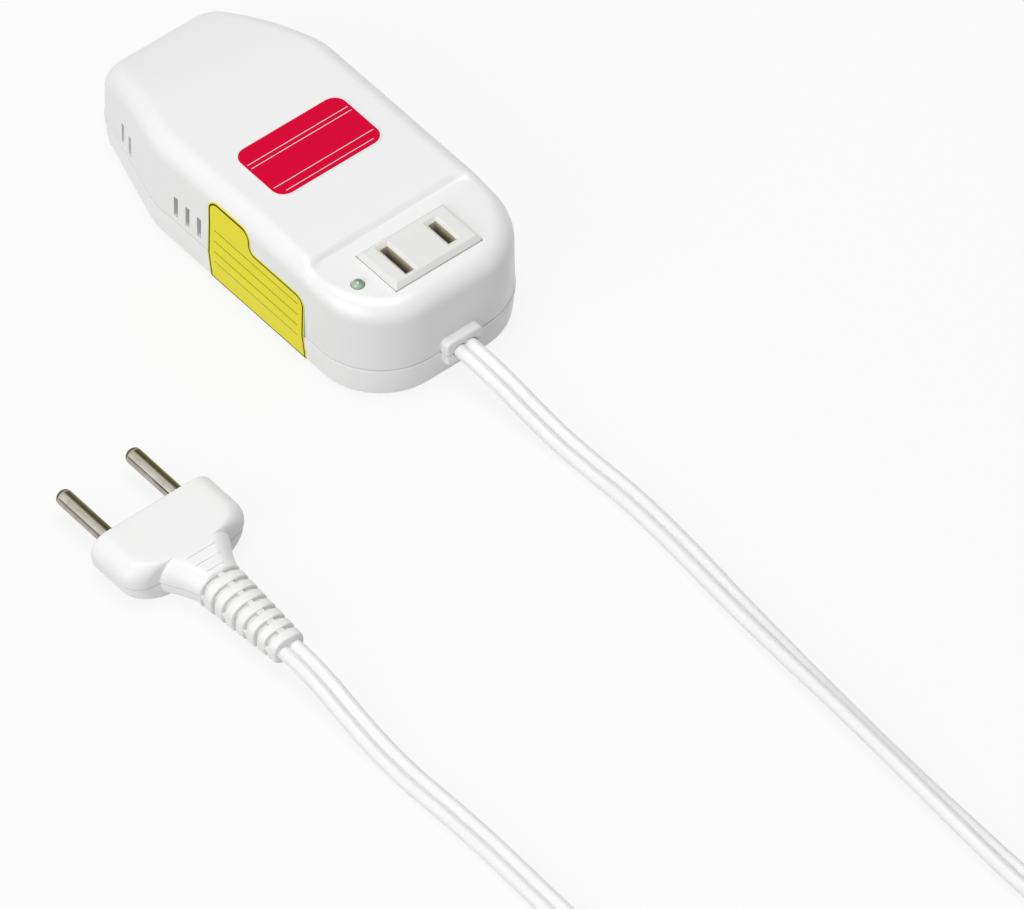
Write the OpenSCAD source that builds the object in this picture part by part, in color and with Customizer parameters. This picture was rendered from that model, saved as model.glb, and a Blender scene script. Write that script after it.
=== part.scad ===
// Travel voltage converter: a two-shell plastic case with a two-blade outlet on its front deck,
// a step-down circuit inside, and a short flat lead that ends in a round-pin plug.
// The front of the case, with the outlet and the lead, faces -Y. Lengths are in millimetres.

/* [Case] */
// Width of the case at its parting line
body_w = 50; // [48:0.5:56]
// Length of the case from front wall to far wall
body_l = 106; // [102:1:116]
// Height of the parting line between the shells
parting_z = 8.6; // [8.2:0.1:10]
// Height of the level top behind the step
plateau_z = 28.6; // [28.3:0.1:34]
// Height of the lower front deck that holds the outlet
deck_z = 26.9; // [25:0.1:27.5]
// Wall thickness of both shells
wall_t = 2; // [1.6:0.1:2.4]
// Plan radius of the two front corners
front_r = 17; // [15:0.5:19]
// Distance from the front wall to where the sides begin to draw in
taper_at = 75; // [72:1:80]
// Width of the far wall, measured where its corners would be sharp
far_w = 31; // [29:0.5:36]
// Plan radius of the two far corners
far_r = 7.6; // [7.3:0.1:9]
// Plan radius where each side bends into its taper
taper_r = 20; // [10:1:24]
// Inward lean of the upper wall between parting line and shoulder
wall_lean = 0.4; // [0.3:0.1:0.8]
// Radius of the rounded shoulder round the level top
shoulder_r = 4.8; // [4.6:0.1:6.6]
// Radius of the rounded edge along the front of the deck
deck_r = 5; // [4.5:0.1:5.4]
// Radius of the deck's edge beside the step
deck_side_r = 2.6; // [2.6:0.1:5]
// Distance from the step over which the deck's edge grows to its front radius
deck_blend = 14; // [10:1:16]
// Inward lean of the lower wall between parting line and bottom edge
lower_lean = 0.7; // [0.5:0.1:1.6]
// Radius of the bottom edge
bottom_r = 1.8; // [1.5:0.1:3]
// Distance from the front wall to the crease at the foot of the step
step_at = 24.1; // [23.8:0.1:28]
// Length of the sloping step between deck and top
step_run = 1.8; // [1.6:0.2:6]
// Drop of the top from the level part to the far wall
crown_drop = 8.5; // [6:0.5:9]
// Height of the tongue that locates the shells on each other
lip_h = 1.2; // [0.8:0.1:1.5]

/* [Vents] */
// Width of one upright vent slot
vent_w = 1.4; // [1:0.1:2]
// Height of one vent slot
vent_h = 5.8; // [4:0.2:7]
// Height of the vent slots above the parting line
vent_rise = 1.9; // [1.6:0.1:2.4]
// Spacing of the vent slots along a wall
vent_pitch = 4; // [3:0.1:4.5]
// Distance from the front wall to the first slot of the side group
vent_at = 58.7; // [57:0.5:62]
// Distance from the start of the taper to the first slot of the taper group
taper_vent_at = 12.5; // [11:0.5:14]

/* [Outlet] */
// Spacing of the two blade slots
blade_pitch = 12.7; // [12.7:0.1:13]
// Length of the longer blade slot
slot_long = 9; // [8:0.1:9.4]
// Length of the shorter blade slot
slot_short = 7; // [6.5:0.1:7.4]
// Width of both blade slots
slot_w = 2.2; // [1.8:0.1:2.4]
// Distance from each side wall to the outlet insert
insert_in = 13; // [12.5:0.1:13.2]
// Depth of the outlet insert at the deck
insert_d = 13.6; // [13.2:0.2:14.4]
// How far the insert stands above the deck
insert_rise = 1.4; // [1:0.1:2]
// Slope of the insert's two end faces
insert_bevel_x = 0.9; // [0.6:0.1:1.8]
// Slope of the insert's two long faces
insert_bevel_y = 1.1; // [0.6:0.1:1.2]
// Distance from the front wall to the middle of the insert
insert_at = 13.4; // [13.1:0.1:15]
// Overlap of the insert's inner flange behind the deck
flange_lap = 1.2; // [0.8:0.1:1.4]
// Thickness of the insert's inner flange
flange_t = 2; // [1.5:0.1:2.5]
// Thickness of the contact strip
contact_t = 0.5; // [0.4:0.05:0.6]
// Depth of a contact leaf along the slot
contact_d = 8; // [7:0.1:8.6]
// Height of the contact's foot above the bench
contact_z = 8.8; // [8.6:0.1:9.4]

/* [Lamp] */
// Diameter of the indicator lamp
lamp_d = 3; // [2.8:0.1:3.2]
// How far the lamp's dome stands above the deck
lamp_rise = 1.2; // [0.8:0.1:2]
// Distance from the left wall to the lamp
lamp_in = 8; // [7.4:0.1:8.4]
// Distance from the front wall to the lamp
lamp_at = 13.6; // [13:0.1:15]

/* [Labels] */
// Width of the label on the top
top_label_w = 30; // [24:0.5:34]
// Depth of the label on the top
top_label_d = 17.6; // [14:0.1:20]
// Corner radius of the label on the top
top_label_r = 3.5; // [2:0.5:5]
// Distance from the front wall to the middle of the top label
top_label_at = 51; // [48:0.1:56]
// Thickness of both labels
label_t = 0.15; // [0.1:0.05:0.3]
// Length of the label on the left wall
side_label_l = 33; // [30:0.5:35]
// Length of the taller rear part of the side label
side_tall_l = 14.5; // [10:0.5:18]
// Height of the top of the side label's taller part
side_tall_z = 25.5; // [23.5:0.1:26]
// Height of the top of the side label's lower part
side_low_z = 20.1; // [18.5:0.1:20.5]
// Distance from the front wall to the side label's front edge
side_label_at = 22.4; // [20:0.1:23]
// Corner radius of the side label
side_label_r = 3; // [1:0.5:4]

/* [Board] */
// Thickness of the circuit board
board_t = 1.6; // [1.2:0.1:2]
// Height of the board's underside
board_z = 6; // [5.6:0.1:6.4]
// Distance from the front wall to the board's front edge
board_at = 28; // [27:0.5:29]
// Distance from the board's far edge to the far wall
board_end_gap = 14; // [13.5:0.5:16]
// Gap between board and case wall
board_gap = 1.5; // [1:0.1:2]
// Distance of the board's screws from its edges
board_screw_in = 3.5; // [3:0.1:4]

/* [Power parts] */
// Length of the heat sink
sink_l = 32; // [30:1:34]
// Height of the heat sink
sink_h = 17.1; // [16.5:0.1:17.6]
// Thickness of the heat sink's back plate
sink_t = 3; // [2:0.1:3.2]
// Length of the heat sink's fins
fin_l = 6.5; // [4:0.5:6.5]
// Thickness of a heat sink fin
fin_t = 1.6; // [1:0.1:2]
// Number of heat sink fins
fin_count = 4; // [2:2:4]
// Sideways place of the heat sink's mounting face
sink_x = 11; // [10.6:0.1:11]
// Width of the switching semiconductor
triac_w = 10.2; // [9.8:0.1:10.6]
// Height of the semiconductor's moulded body
triac_h = 9.2; // [8.8:0.1:9.4]
// Thickness of the semiconductor's moulded body
triac_t = 4.5; // [4:0.1:4.8]
// Thickness of the semiconductor's metal tab
tab_t = 1.3; // [1:0.1:1.5]
// Thickness of the insulating pad behind the tab
pad_t = 0.3; // [0.2:0.05:0.5]
// Outer radius of the choke's winding
choke_r = 12; // [11:0.1:12.2]
// Height of the choke's winding
choke_h = 11; // [9:0.5:14]
// Thickness of the choke's winding over its core
winding_t = 1.5; // [1:0.1:2]
// Inner radius of the choke's core
core_r = 6; // [5:0.1:7]

/* [Small parts] */
// Length of the suppression capacitor
film_l = 18; // [16:0.5:18]
// Width of the suppression capacitor
film_w = 8.5; // [7:0.1:8.8]
// Height of the suppression capacitor
film_h = 15; // [10:0.5:17]
// Diameter of the smoothing capacitor
can_d = 10; // [8:0.5:10.4]
// Height of the smoothing capacitor
can_h = 14; // [11:0.5:16]
// Diameter of the fuse tube
fuse_d = 5.2; // [5:0.1:5.4]
// Length of the fuse
fuse_l = 20; // [19:0.5:21]
// Diameter of the surge absorber disc
varistor_d = 10; // [8:0.5:10.4]
// Thickness of the surge absorber disc
varistor_t = 4; // [3:0.1:4.2]
// Side of the voltage preset's base
preset_w = 7; // [6:0.1:7.4]
// Height of the voltage preset's base
preset_h = 3.5; // [3:0.1:5]
// Diameter of the preset's turning disc
rotor_d = 5.2; // [4:0.1:5.6]
// Thickness of the preset's turning disc
rotor_t = 1.4; // [1.2:0.1:2]
// Diameter of the pivot that the disc turns on
pivot_d = 1.6; // [1.4:0.1:2]

/* [Fasteners] */
// Shank diameter of the case, board and clamp screws
screw_d = 2.2; // [2:0.1:2.4]
// Head diameter of the case, board and clamp screws
head_d = 4.2; // [3.8:0.1:4.4]
// Head height of the case, board and clamp screws
head_h = 1.6; // [1.4:0.1:1.9]
// Radius of the case's screw posts
post_r = 2.5; // [2.2:0.1:2.6]
// Length of a case screw below its head
case_screw_l = 15; // [12:0.5:17]
// Length of a board screw below its head
board_screw_l = 4.8; // [4.2:0.1:5]
// Shank diameter of the screw through the heat sink
sink_screw_d = 3; // [2.5:0.1:3.2]

/* [Lead and plug] */
// Width of the flat lead
cord_w = 6.2; // [5.8:0.1:6.6]
// Thickness of the flat lead
cord_t = 3.1; // [2.9:0.1:3.2]
// Width of the collar round the lead
gland_w = 10; // [10:0.5:13]
// Height of the collar round the lead
gland_h = 7; // [6.6:0.2:9]
// How far the collar stands out of the front wall
gland_out = 2; // [1.6:0.2:3]
// Diameter of the plug's pins
pin_d = 4; // [3.9:0.05:4.1]
// Spacing of the plug's pins
pin_pitch = 19; // [18.5:0.1:19.2]
// Length of the plug's pins outside the plug
pin_l = 18.5; // [18.5:0.1:19.5]
// Width of the plug's moulding
plug_w = 33; // [32:0.5:36]
// Thickness of the plug's moulding
plug_t = 11.5; // [11:0.1:12.5]
// Length of the plug's wide head and its neck
plug_head_l = 24; // [23:0.5:25]
// Length of the plug's ribbed sleeve
sleeve_l = 23.5; // [22:0.5:24]
// Number of grooves in the plug's sleeve
sleeve_grooves = 7; // [4:1:8]
// Depth of the grooves in the plug's sleeve
groove_depth = 0.9; // [0.4:0.1:1.1]

/* [Hidden] */
$fn = 48;

// Shared clearances
fit = 0.15;
bore_fit = 0.05;
eps = 0.01;

// Case outline: the front wall is at front_y, and the collar's face mirrors the far wall about y = 0
half_w = body_w / 2;
front_y = (gland_out - body_l) / 2;
far_y = front_y + body_l;
taper_y = front_y + taper_at;
taper_a = atan((half_w - far_w / 2) / (far_y - taper_y));
taper_tangent = taper_r * tan(taper_a / 2);
far_line = far_w / 2 * cos(taper_a) + far_y * sin(taper_a);
far_cx = (far_line - far_r - (far_y - far_r) * sin(taper_a)) / cos(taper_a);
step_y = front_y + step_at;
crown_radius = (pow(far_y - taper_y, 2) + pow(crown_drop, 2)) / (2 * crown_drop);

// Half width of the outline at y, on the straight sides and along the taper
function side_x(y) = half_w - max(0, y - taper_y) * tan(taper_a);

// Height of the top at y: deck, sloping step, level top, then a long arc down to the far wall
function top_z(y) =
    y <= step_y ? deck_z
    : y < step_y + step_run ? deck_z + (plateau_z - deck_z) * sin(90 * (y - step_y) / step_run)
    : y <= taper_y ? plateau_z
    : plateau_z - crown_radius + sqrt(pow(crown_radius, 2) - pow(y - taper_y, 2));

// Radius of the rounded edge of the top at y
function edge_r(y) =
    y > step_y ? deck_side_r + (shoulder_r - deck_side_r) * min(1, (y - step_y) / step_run)
    : deck_side_r + (deck_r - deck_side_r) * min(1, (step_y - y) / deck_blend);

// Right half of the outline, from the front wall to the far wall, as [x, y, direction of its normal]
arc_step = 15;
taper_arc_end = [half_w - taper_r + taper_r * cos(taper_a), taper_y - taper_tangent + taper_r * sin(taper_a)];
far_arc_start = [far_cx + far_r * cos(taper_a), far_y - far_r + far_r * sin(taper_a)];
outline_stations = concat(
    [for (a = [-90 : arc_step : 0])
        [half_w - front_r + front_r * cos(a), front_y + front_r + front_r * sin(a), a]],
    [for (s = [0, 0.25, 0.5, 0.75, 1]) [half_w, step_y + s * step_run, 0]],
    [for (s = [0, 0.5, 1])
        [half_w - taper_r + taper_r * cos(s * taper_a),
         taper_y - taper_tangent + taper_r * sin(s * taper_a), s * taper_a]],
    [for (s = [0.25, 0.5, 0.75]) [each taper_arc_end + s * (far_arc_start - taper_arc_end), taper_a]],
    [for (s = [0 : 0.2 : 1]) let (a = taper_a + s * (90 - taper_a))
        [far_cx + far_r * cos(a), far_y - far_r + far_r * sin(a), a]]
);
half_count = len(outline_stations);
ring_count = 2 * half_count;

// A ring follows the outline, set in by i0 + i1 * edge radius, at z0 + zh * top height + zr * edge radius
function ring_point(s, k) =
    let (r = edge_r(s[1]), inset = k[0] + k[1] * r, y = s[1] - inset * sin(s[2]))
    [s[0] - inset * cos(s[2]), y, k[2] + k[3] * top_z(y) + k[4] * r];
function ring(k) =
    let (right = [for (s = outline_stations) ring_point(s, k)])
    concat(right, [for (i = [half_count - 1 : -1 : 0]) [-right[i][0], right[i][1], right[i][2]]]);
function level(inset, z) = [inset, 0, z, 0, 0];
function shoulder(a, t) = [wall_lean + t * cos(a), 1 - cos(a), -t * sin(a), 1, sin(a) - 1];

// Closed cup: rings from its upper end face, over or under the rim, to its other end face
module cup(specs) {
    rings = len(specs);
    function side_faces(k) = [for (i = [0 : ring_count - 1])
        let (a = k * ring_count + i, b = k * ring_count + (i + 1) % ring_count)
        each [[a, b, a + ring_count], [b, b + ring_count, a + ring_count]]];
    function end_faces(k, turn) = [for (i = [0 : half_count - 2])
        let (r0 = k * ring_count + i, l0 = k * ring_count + ring_count - 1 - i)
        each turn ? [[r0, r0 + 1, l0 - 1], [r0, l0 - 1, l0]] : [[r0, l0 - 1, r0 + 1], [r0, l0, l0 - 1]]];
    polyhedron(
        points = [for (k = specs) each ring(k)],
        faces = concat(end_faces(0, false), [for (k = [0 : rings - 2]) each side_faces(k)],
                       end_faces(rings - 1, true)),
        convexity = 6);
}

// Case colours
shell_white = [0.94, 0.94, 0.93];
insert_white = [0.93, 0.92, 0.88];
steel = [0.72, 0.72, 0.74];
brass = [0.85, 0.68, 0.35];

// Screw posts of the case, in front of and behind the board
front_post_in = [8, 9];
far_post_in = [5, 9.5];
post_x = [half_w - front_post_in[0], far_w / 2 - far_post_in[0]];
post_y = [front_y + front_post_in[1], far_y - far_post_in[1]];
posts = [for (i = [0, 1]) for (side = [-1, 1]) [side * post_x[i], post_y[i]]];
lower_post_r = post_r + 0.7;
post_bite = 0.3;
head_seat_z = 2.4;
pilot_r = screw_d / 2 + bore_fit;
floor_z = wall_t;

// Board outline and its screws
board_y0 = front_y + board_at;
board_y1 = far_y - board_end_gap;
board_top = board_z + board_t;
board_in = wall_t + board_gap;
board_far_x = side_x(board_y1) - board_in - 0.6;
board_screw_at = [
    [half_w - board_in - board_screw_in, board_y0 + board_screw_in],
    [board_far_x - board_screw_in, board_y1 - board_screw_in]
];
board_screws_at = [for (p = board_screw_at) for (side = [-1, 1]) [side * p[0], p[1]]];
standoff_r = 2.75;

// Lead clamp behind the collar
cord_z = parting_z;
clamp_l = 5;
clamp_w = 17;
clamp_h = 3;
clamp_at = 5.6;
clamp_y = front_y + clamp_at;
clamp_screw_x = 6;
clamp_boss_r = 2.3;
clamp_top = cord_z + cord_t / 2 + clamp_h;

// Outlet insert and its wells
insert_w = body_w - 2 * insert_in;
insert_y = front_y + insert_at;
insert_top = deck_z + insert_rise;
ceiling_z = deck_z - wall_t;
flange_gap = 0.5;
flange_z = ceiling_z - flange_gap - flange_t;
well_w = 5.6;
well_wall = 1.1;
well_d = contact_d + 2 * well_wall + 2 * bore_fit;
contact_gap = 1.5;

// Lead opening through collar and wall, shared by both shells
module lead_opening() {
    gap = 2 * fit;
    r = cord_t / 2 + fit;
    translate([0, front_y + wall_t + 1, cord_z]) rotate([90, 0, 0])
        linear_extrude(gland_out + wall_t + 2) {
            square([cord_w + gap - 2 * r, 2 * r], center = true);
            for (side = [-1, 1]) translate([side * ((cord_w + gap) / 2 - r), 0]) circle(r);
        }
}

// Collar round the lead, a rounded block that runs into the front wall
module collar_block() {
    r = 1.2;
    translate([0, front_y + wall_t / 2, cord_z]) rotate([90, 0, 0])
        linear_extrude(gland_out + wall_t / 2) {
            square([gland_w - 2 * r, gland_h], center = true);
            square([gland_w, gland_h - 2 * r], center = true);
            for (x = [-1, 1]) for (z = [-1, 1])
                translate([x * (gland_w / 2 - r), z * (gland_h / 2 - r)]) circle(r);
        }
}

// Upper or lower half of a block that is split at the parting line
module above_parting() {
    intersection() {
        children();
        translate([-body_w, -body_l, parting_z]) cube([2 * body_w, 2 * body_l, plateau_z]);
    }
}
module below_parting() {
    intersection() {
        children();
        translate([-body_w, -body_l, parting_z - plateau_z]) cube([2 * body_w, 2 * body_l, plateau_z]);
    }
}

// Vent slots of one side wall and its taper
module vent_slots() {
    z = parting_z + vent_rise;
    deep = 3 * wall_t;
    for (i = [0 : 2])
        translate([half_w - deep / 2, front_y + vent_at + i * vent_pitch - vent_w / 2, z])
            cube([deep, vent_w, vent_h]);
    for (i = [0, 1])
        let (y = taper_y + taper_vent_at + i * vent_pitch)
        translate([side_x(y), y, z]) rotate([0, 0, taper_a])
            translate([-deep / 2, -vent_w / 2, 0]) cube([deep, vent_w, vent_h]);
}

module upper_shell() color(shell_white) {
    wall_mid = wall_t / 2 - fit / 2;
    rim_z = parting_z + lip_h + fit;
    difference() {
        union() {
            cup(concat(
                [for (a = [90 : -22.5 : 0]) shoulder(a, 0)],
                [level(0, parting_z), level(wall_mid, parting_z), level(wall_mid, rim_z), level(wall_t, rim_z)],
                [for (a = [0, 45, 90]) shoulder(a, wall_t)]));
            for (p = posts)
                translate([p[0], p[1], parting_z + fit])
                    cylinder(r = post_r, h = top_z(p[1]) - wall_t + post_bite - parting_z - fit);
            above_parting() collar_block();
        }
        for (p = posts)
            translate([p[0], p[1], parting_z]) cylinder(r = pilot_r, h = case_screw_l);
        translate([0, insert_y, ceiling_z + wall_t / 2])
            cube([insert_w + 2 * fit, insert_d + 2 * fit, 2 * wall_t], center = true);
        translate([lamp_x, front_y + lamp_at, ceiling_z - 1]) cylinder(d = lamp_d + 2 * fit, h = 2 * wall_t);
        for (side = [0, 1]) mirror([side, 0, 0]) vent_slots();
        lead_opening();
    }
}

module lower_shell() color(shell_white) {
    wall_mid = wall_t / 2 + fit / 2;
    lip_z = parting_z + lip_h;
    floor_inset = lower_lean + bottom_r;
    difference() {
        union() {
            cup(concat(
                [level(floor_inset + 0.6, floor_z), level(lower_lean + wall_t, bottom_r + 1),
                 level(wall_t, lip_z), level(wall_mid, lip_z), level(wall_mid, parting_z), level(0, parting_z)],
                [for (a = [90, 60, 30, 0])
                    level(lower_lean + bottom_r * (1 - sin(a)), bottom_r * (1 - cos(a)))]));
            for (p = posts)
                translate([p[0], p[1], floor_z / 2]) cylinder(r = lower_post_r, h = parting_z - floor_z / 2);
            for (p = board_screws_at)
                translate([p[0], p[1], floor_z / 2]) cylinder(r = standoff_r, h = board_z - floor_z / 2);
            for (side = [-1, 1])
                translate([side * clamp_screw_x, clamp_y, floor_z / 2])
                    cylinder(r = clamp_boss_r, h = cord_z + cord_t / 2 - floor_z / 2);
            translate([-cord_w / 2, clamp_y - clamp_l / 2, floor_z / 2])
                cube([cord_w, clamp_l, cord_z - cord_t / 2 - floor_z / 2]);
            below_parting() collar_block();
        }
        for (p = posts) {
            translate([p[0], p[1], -1]) cylinder(r = pilot_r + bore_fit, h = parting_z + 2);
            translate([p[0], p[1], -1]) cylinder(d = head_d + 2 * fit, h = head_seat_z + 1);
        }
        for (p = board_screws_at)
            translate([p[0], p[1], floor_z]) cylinder(r = pilot_r, h = board_z);
        for (side = [-1, 1])
            translate([side * clamp_screw_x, clamp_y, floor_z]) cylinder(r = pilot_r, h = clamp_top);
        lead_opening();
    }
}

// Screw that points up from z = 0, with its head below and a cross recess in the head
module screw(shank_l) {
    recess = head_d / 2;
    difference() {
        union() {
            translate([0, 0, -head_h]) cylinder(d = head_d, h = head_h);
            cylinder(d = screw_d, h = shank_l);
        }
        for (a = [0, 90]) rotate([0, 0, a])
            translate([-recess / 2, -0.3, -head_h - eps]) cube([recess, 0.6, head_h / 2]);
    }
}

module case_screws() color(steel)
    for (p = posts) translate([p[0], p[1], head_seat_z]) screw(case_screw_l);

module board_screws() color(steel)
    for (p = board_screws_at)
        translate([p[0], p[1], board_top]) mirror([0, 0, 1]) screw(board_screw_l);

module clamp_screws() color(steel)
    for (side = [-1, 1])
        translate([side * clamp_screw_x, clamp_y, clamp_top]) mirror([0, 0, 1]) screw(clamp_top - floor_z - 1);

// Outlet: bevelled face block, inner flange and two wells that hold the contacts
module socket_insert() color(insert_white) {
    slot_top = insert_top + 1;
    difference() {
        union() {
            intersection() {
                translate([0, insert_y + insert_d / 2, 0]) rotate([90, 0, 0]) linear_extrude(insert_d)
                    polygon([[-insert_w / 2, flange_z + eps], [insert_w / 2, flange_z + eps],
                             [insert_w / 2, deck_z + 0.3], [insert_w / 2 - insert_bevel_x, insert_top],
                             [-insert_w / 2 + insert_bevel_x, insert_top], [-insert_w / 2, deck_z + 0.3]]);
                translate([-insert_w / 2, insert_y, 0]) rotate([90, 0, 90]) linear_extrude(insert_w)
                    polygon([[-insert_d / 2, flange_z], [insert_d / 2, flange_z],
                             [insert_d / 2, deck_z + 0.3], [insert_d / 2 - insert_bevel_y, insert_top],
                             [-insert_d / 2 + insert_bevel_y, insert_top], [-insert_d / 2, deck_z + 0.3]]);
            }
            translate([-insert_w / 2 - flange_lap, insert_y - insert_d / 2 - flange_lap, flange_z])
                cube([insert_w + 2 * flange_lap, insert_d + 2 * flange_lap, flange_t]);
            for (side = [-1, 1])
                translate([side * blade_pitch / 2 - well_w / 2, insert_y - well_d / 2, contact_z])
                    cube([well_w, well_d, flange_z - contact_z + eps]);
        }
        for (side = [-1, 1]) let (l = side < 0 ? slot_long : slot_short, x = side * blade_pitch / 2) {
            translate([x - slot_w / 2, insert_y - l / 2, flange_z - 1]) cube([slot_w, l, slot_top]);
            translate([x - well_w / 2 + well_wall, insert_y - well_d / 2 + well_wall, contact_z - 1])
                cube([well_w - 2 * well_wall, well_d - 2 * well_wall, flange_z - contact_z + 1]);
        }
    }
}

// Folded spring contact: two leaves that grip a blade, joined at the foot, with a tail for the wire
contact_half = contact_gap / 2 + contact_t;
tail_l = 4;
module contact(x) color(brass) {
    flare = 0.3;
    top = flange_z - 1;
    bend = top - 2;
    translate([x, insert_y + contact_d / 2, 0]) rotate([90, 0, 0]) linear_extrude(contact_d)
        polygon([[-contact_half, contact_z], [contact_half, contact_z], [contact_half, bend],
                 [contact_half + flare, top], [contact_half + flare - contact_t, top],
                 [contact_half - contact_t, bend], [contact_half - contact_t, contact_z + contact_t],
                 [contact_t - contact_half, contact_z + contact_t], [contact_t - contact_half, bend],
                 [contact_t - contact_half - flare, top], [-contact_half - flare, top],
                 [-contact_half, bend]]);
    translate([x - contact_half, insert_y + contact_d / 2 - eps, contact_z - contact_t])
        cube([2 * contact_half, tail_l, contact_t]);
    translate([x - contact_half, insert_y + contact_d / 2 - 2 * contact_t, contact_z - contact_t])
        cube([2 * contact_half, 2 * contact_t, 2 * contact_t]);
}
module wide_slot_contact() contact(-blade_pitch / 2);
module narrow_slot_contact() contact(blade_pitch / 2);

// Tube swept along points: each ring lies across its tangent, with its first axis along its side vector
function unit(v) = v / norm(v);
module sweep(points, tangents, sides, section) {
    n = len(points);
    m = len(section);
    polyhedron(
        points = [for (i = [0 : n - 1]) let (up = cross(sides[i], tangents[i])) for (q = section)
            points[i] + q[0] * sides[i] + q[1] * up],
        faces = concat(
            [[for (i = [0 : m - 1]) i]],
            [for (k = [0 : n - 2]) for (i = [0 : m - 1]) let (a = k * m + i, b = k * m + (i + 1) % m)
                each [[a, a + m, b], [b, a + m, b + m]]],
            [[for (i = [m - 1 : -1 : 0]) (n - 1) * m + i]]),
        convexity = 8);
}
function tangents_of(points) = let (n = len(points)) [for (i = [0 : n - 1])
    unit(unit(points[min(n - 1, i + 1)] - points[min(n - 2, i)]) + unit(points[max(1, i)] - points[max(0, i - 1)]))];

// Insulated wire through a list of points, none of which runs along X
wire_sides = 8;
module wire(points, d) {
    along = tangents_of(points);
    sweep(points, along, [for (t = along) unit([1, 0, 0] - t[0] * t)],
          [for (i = [0 : wire_sides - 1]) d / 2 * [cos(360 * i / wire_sides), sin(360 * i / wire_sides)]]);
}

// Wires from the outlet's contacts to the board
module output_wires() color([0.75, 0.1, 0.1]) {
    d = 1.8;
    start = insert_y + contact_d / 2 + tail_l - 1;
    for (side = [-1, 1]) let (x = side * blade_pitch / 2)
        wire([[x, start, contact_z + d / 2], [x, board_y0 + 1.5, contact_z + d / 2],
              [x, board_y0 + 1.5, board_top]], d);
}

// Wires from the lead's clamped end to the board
module input_wires() color([0.2, 0.2, 0.2]) {
    d = 1.6;
    z = board_top + d / 2 + 0.8;
    for (side = [-1, 1]) let (x = side * cord_w / 4)
        wire([[x, clamp_y + clamp_l / 2 + 1, cord_z], [x, clamp_y + clamp_l / 2 + 4, cord_z],
              [x, board_y0 - 2, z], [x, board_y0 + 1.5, z], [x, board_y0 + 1.5, board_top]], d);
}

// Indicator lamp, a domed cylinder with a flange below the deck
lamp_x = lamp_in - half_w;
lamp_y = front_y + lamp_at;
lamp_wire_drop = 8.6;
lamp_wire_rise = 4.4;
lamp_flange_z = ceiling_z - 1 - 2 * fit;
module lamp() color([0.25, 0.55, 0.35]) {
    r = lamp_d / 2;
    translate([lamp_x, lamp_y, 0]) {
        translate([0, 0, lamp_flange_z]) cylinder(r = r + 0.35, h = 1);
        translate([0, 0, lamp_flange_z]) cylinder(r = r, h = deck_z + lamp_rise - r - lamp_flange_z);
        translate([0, 0, deck_z + lamp_rise - r]) intersection() {
            sphere(r);
            translate([0, 0, r]) cube(2 * r, center = true);
        }
    }
}
module lamp_wires() color([0.3, 0.3, 0.3]) {
    d = 0.8;
    foot = [lamp_x + 4, board_y0 + 1.5];
    for (side = [0, 1]) let (s = (side - 0.5) * 1.6)
        wire([[lamp_x + s, lamp_y, lamp_flange_z], [lamp_x + s, lamp_y, ceiling_z - lamp_wire_drop],
              [foot[0] + s, foot[1], board_top + lamp_wire_rise], [foot[0] + s, foot[1], board_top]], d);
}

// Flat plate with round corners
module round_plate(w, d, r, h) {
    translate([-w / 2 + r, -d / 2, 0]) cube([w - 2 * r, d, h]);
    translate([-w / 2, -d / 2 + r, 0]) cube([w, d - 2 * r, h]);
    for (x = [-1, 1]) for (y = [-1, 1])
        translate([x * (w / 2 - r), y * (d / 2 - r), 0]) cylinder(r = r, h = h);
}

module top_label() color([0.88, 0.03, 0.2])
    translate([0, front_y + top_label_at, plateau_z]) round_plate(top_label_w, top_label_d, top_label_r, label_t);

// Left wall's profile, from above the bottom edge to the shoulder, set out by t
function wall_profile(t) = concat(
    [[half_w - lower_lean + t, bottom_r], [half_w + t, parting_z],
     [half_w - wall_lean + t, plateau_z - shoulder_r]],
    [for (a = [22.5, 45]) [half_w - wall_lean - shoulder_r + (shoulder_r + t) * cos(a),
                           plateau_z - shoulder_r + (shoulder_r + t) * sin(a)]]);
module side_label() color([0.91, 0.87, 0.24]) {
    inner = wall_profile(0.02);
    outer = wall_profile(0.02 + label_t);
    low = bottom_r - side_label_r;
    label_y = front_y + side_label_at;
    intersection() {
        translate([0, label_y + side_label_l, 0]) rotate([90, 0, 0]) linear_extrude(side_label_l)
            polygon([for (p = concat(inner, [for (i = [len(outer) - 1 : -1 : 0]) outer[i]])) [-p[0], p[1]]]);
        translate([-half_w - 1, label_y, 0]) rotate([90, 0, 90]) union() {
            translate([side_label_l / 2, (low + side_low_z) / 2, 0])
                round_plate(side_label_l, side_low_z - low, side_label_r, half_w);
            translate([side_label_l - side_tall_l / 2, (low + side_tall_z) / 2, 0])
                round_plate(side_tall_l, side_tall_z - low, side_label_r, half_w);
        }
    }
}

module circuit_board() color([0.72, 0.56, 0.28]) {
    w = half_w - board_in;
    bend = taper_y - taper_tangent;
    difference() {
        translate([0, 0, board_z]) linear_extrude(board_t)
            polygon([[-w, board_y0], [w, board_y0], [w, bend], [board_far_x, board_y1], [-board_far_x, board_y1], [-w, bend]]);
        for (p = board_screws_at)
            translate([p[0], p[1], board_z - 1]) cylinder(r = pilot_r + fit, h = board_t + 2);
    }
}

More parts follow.
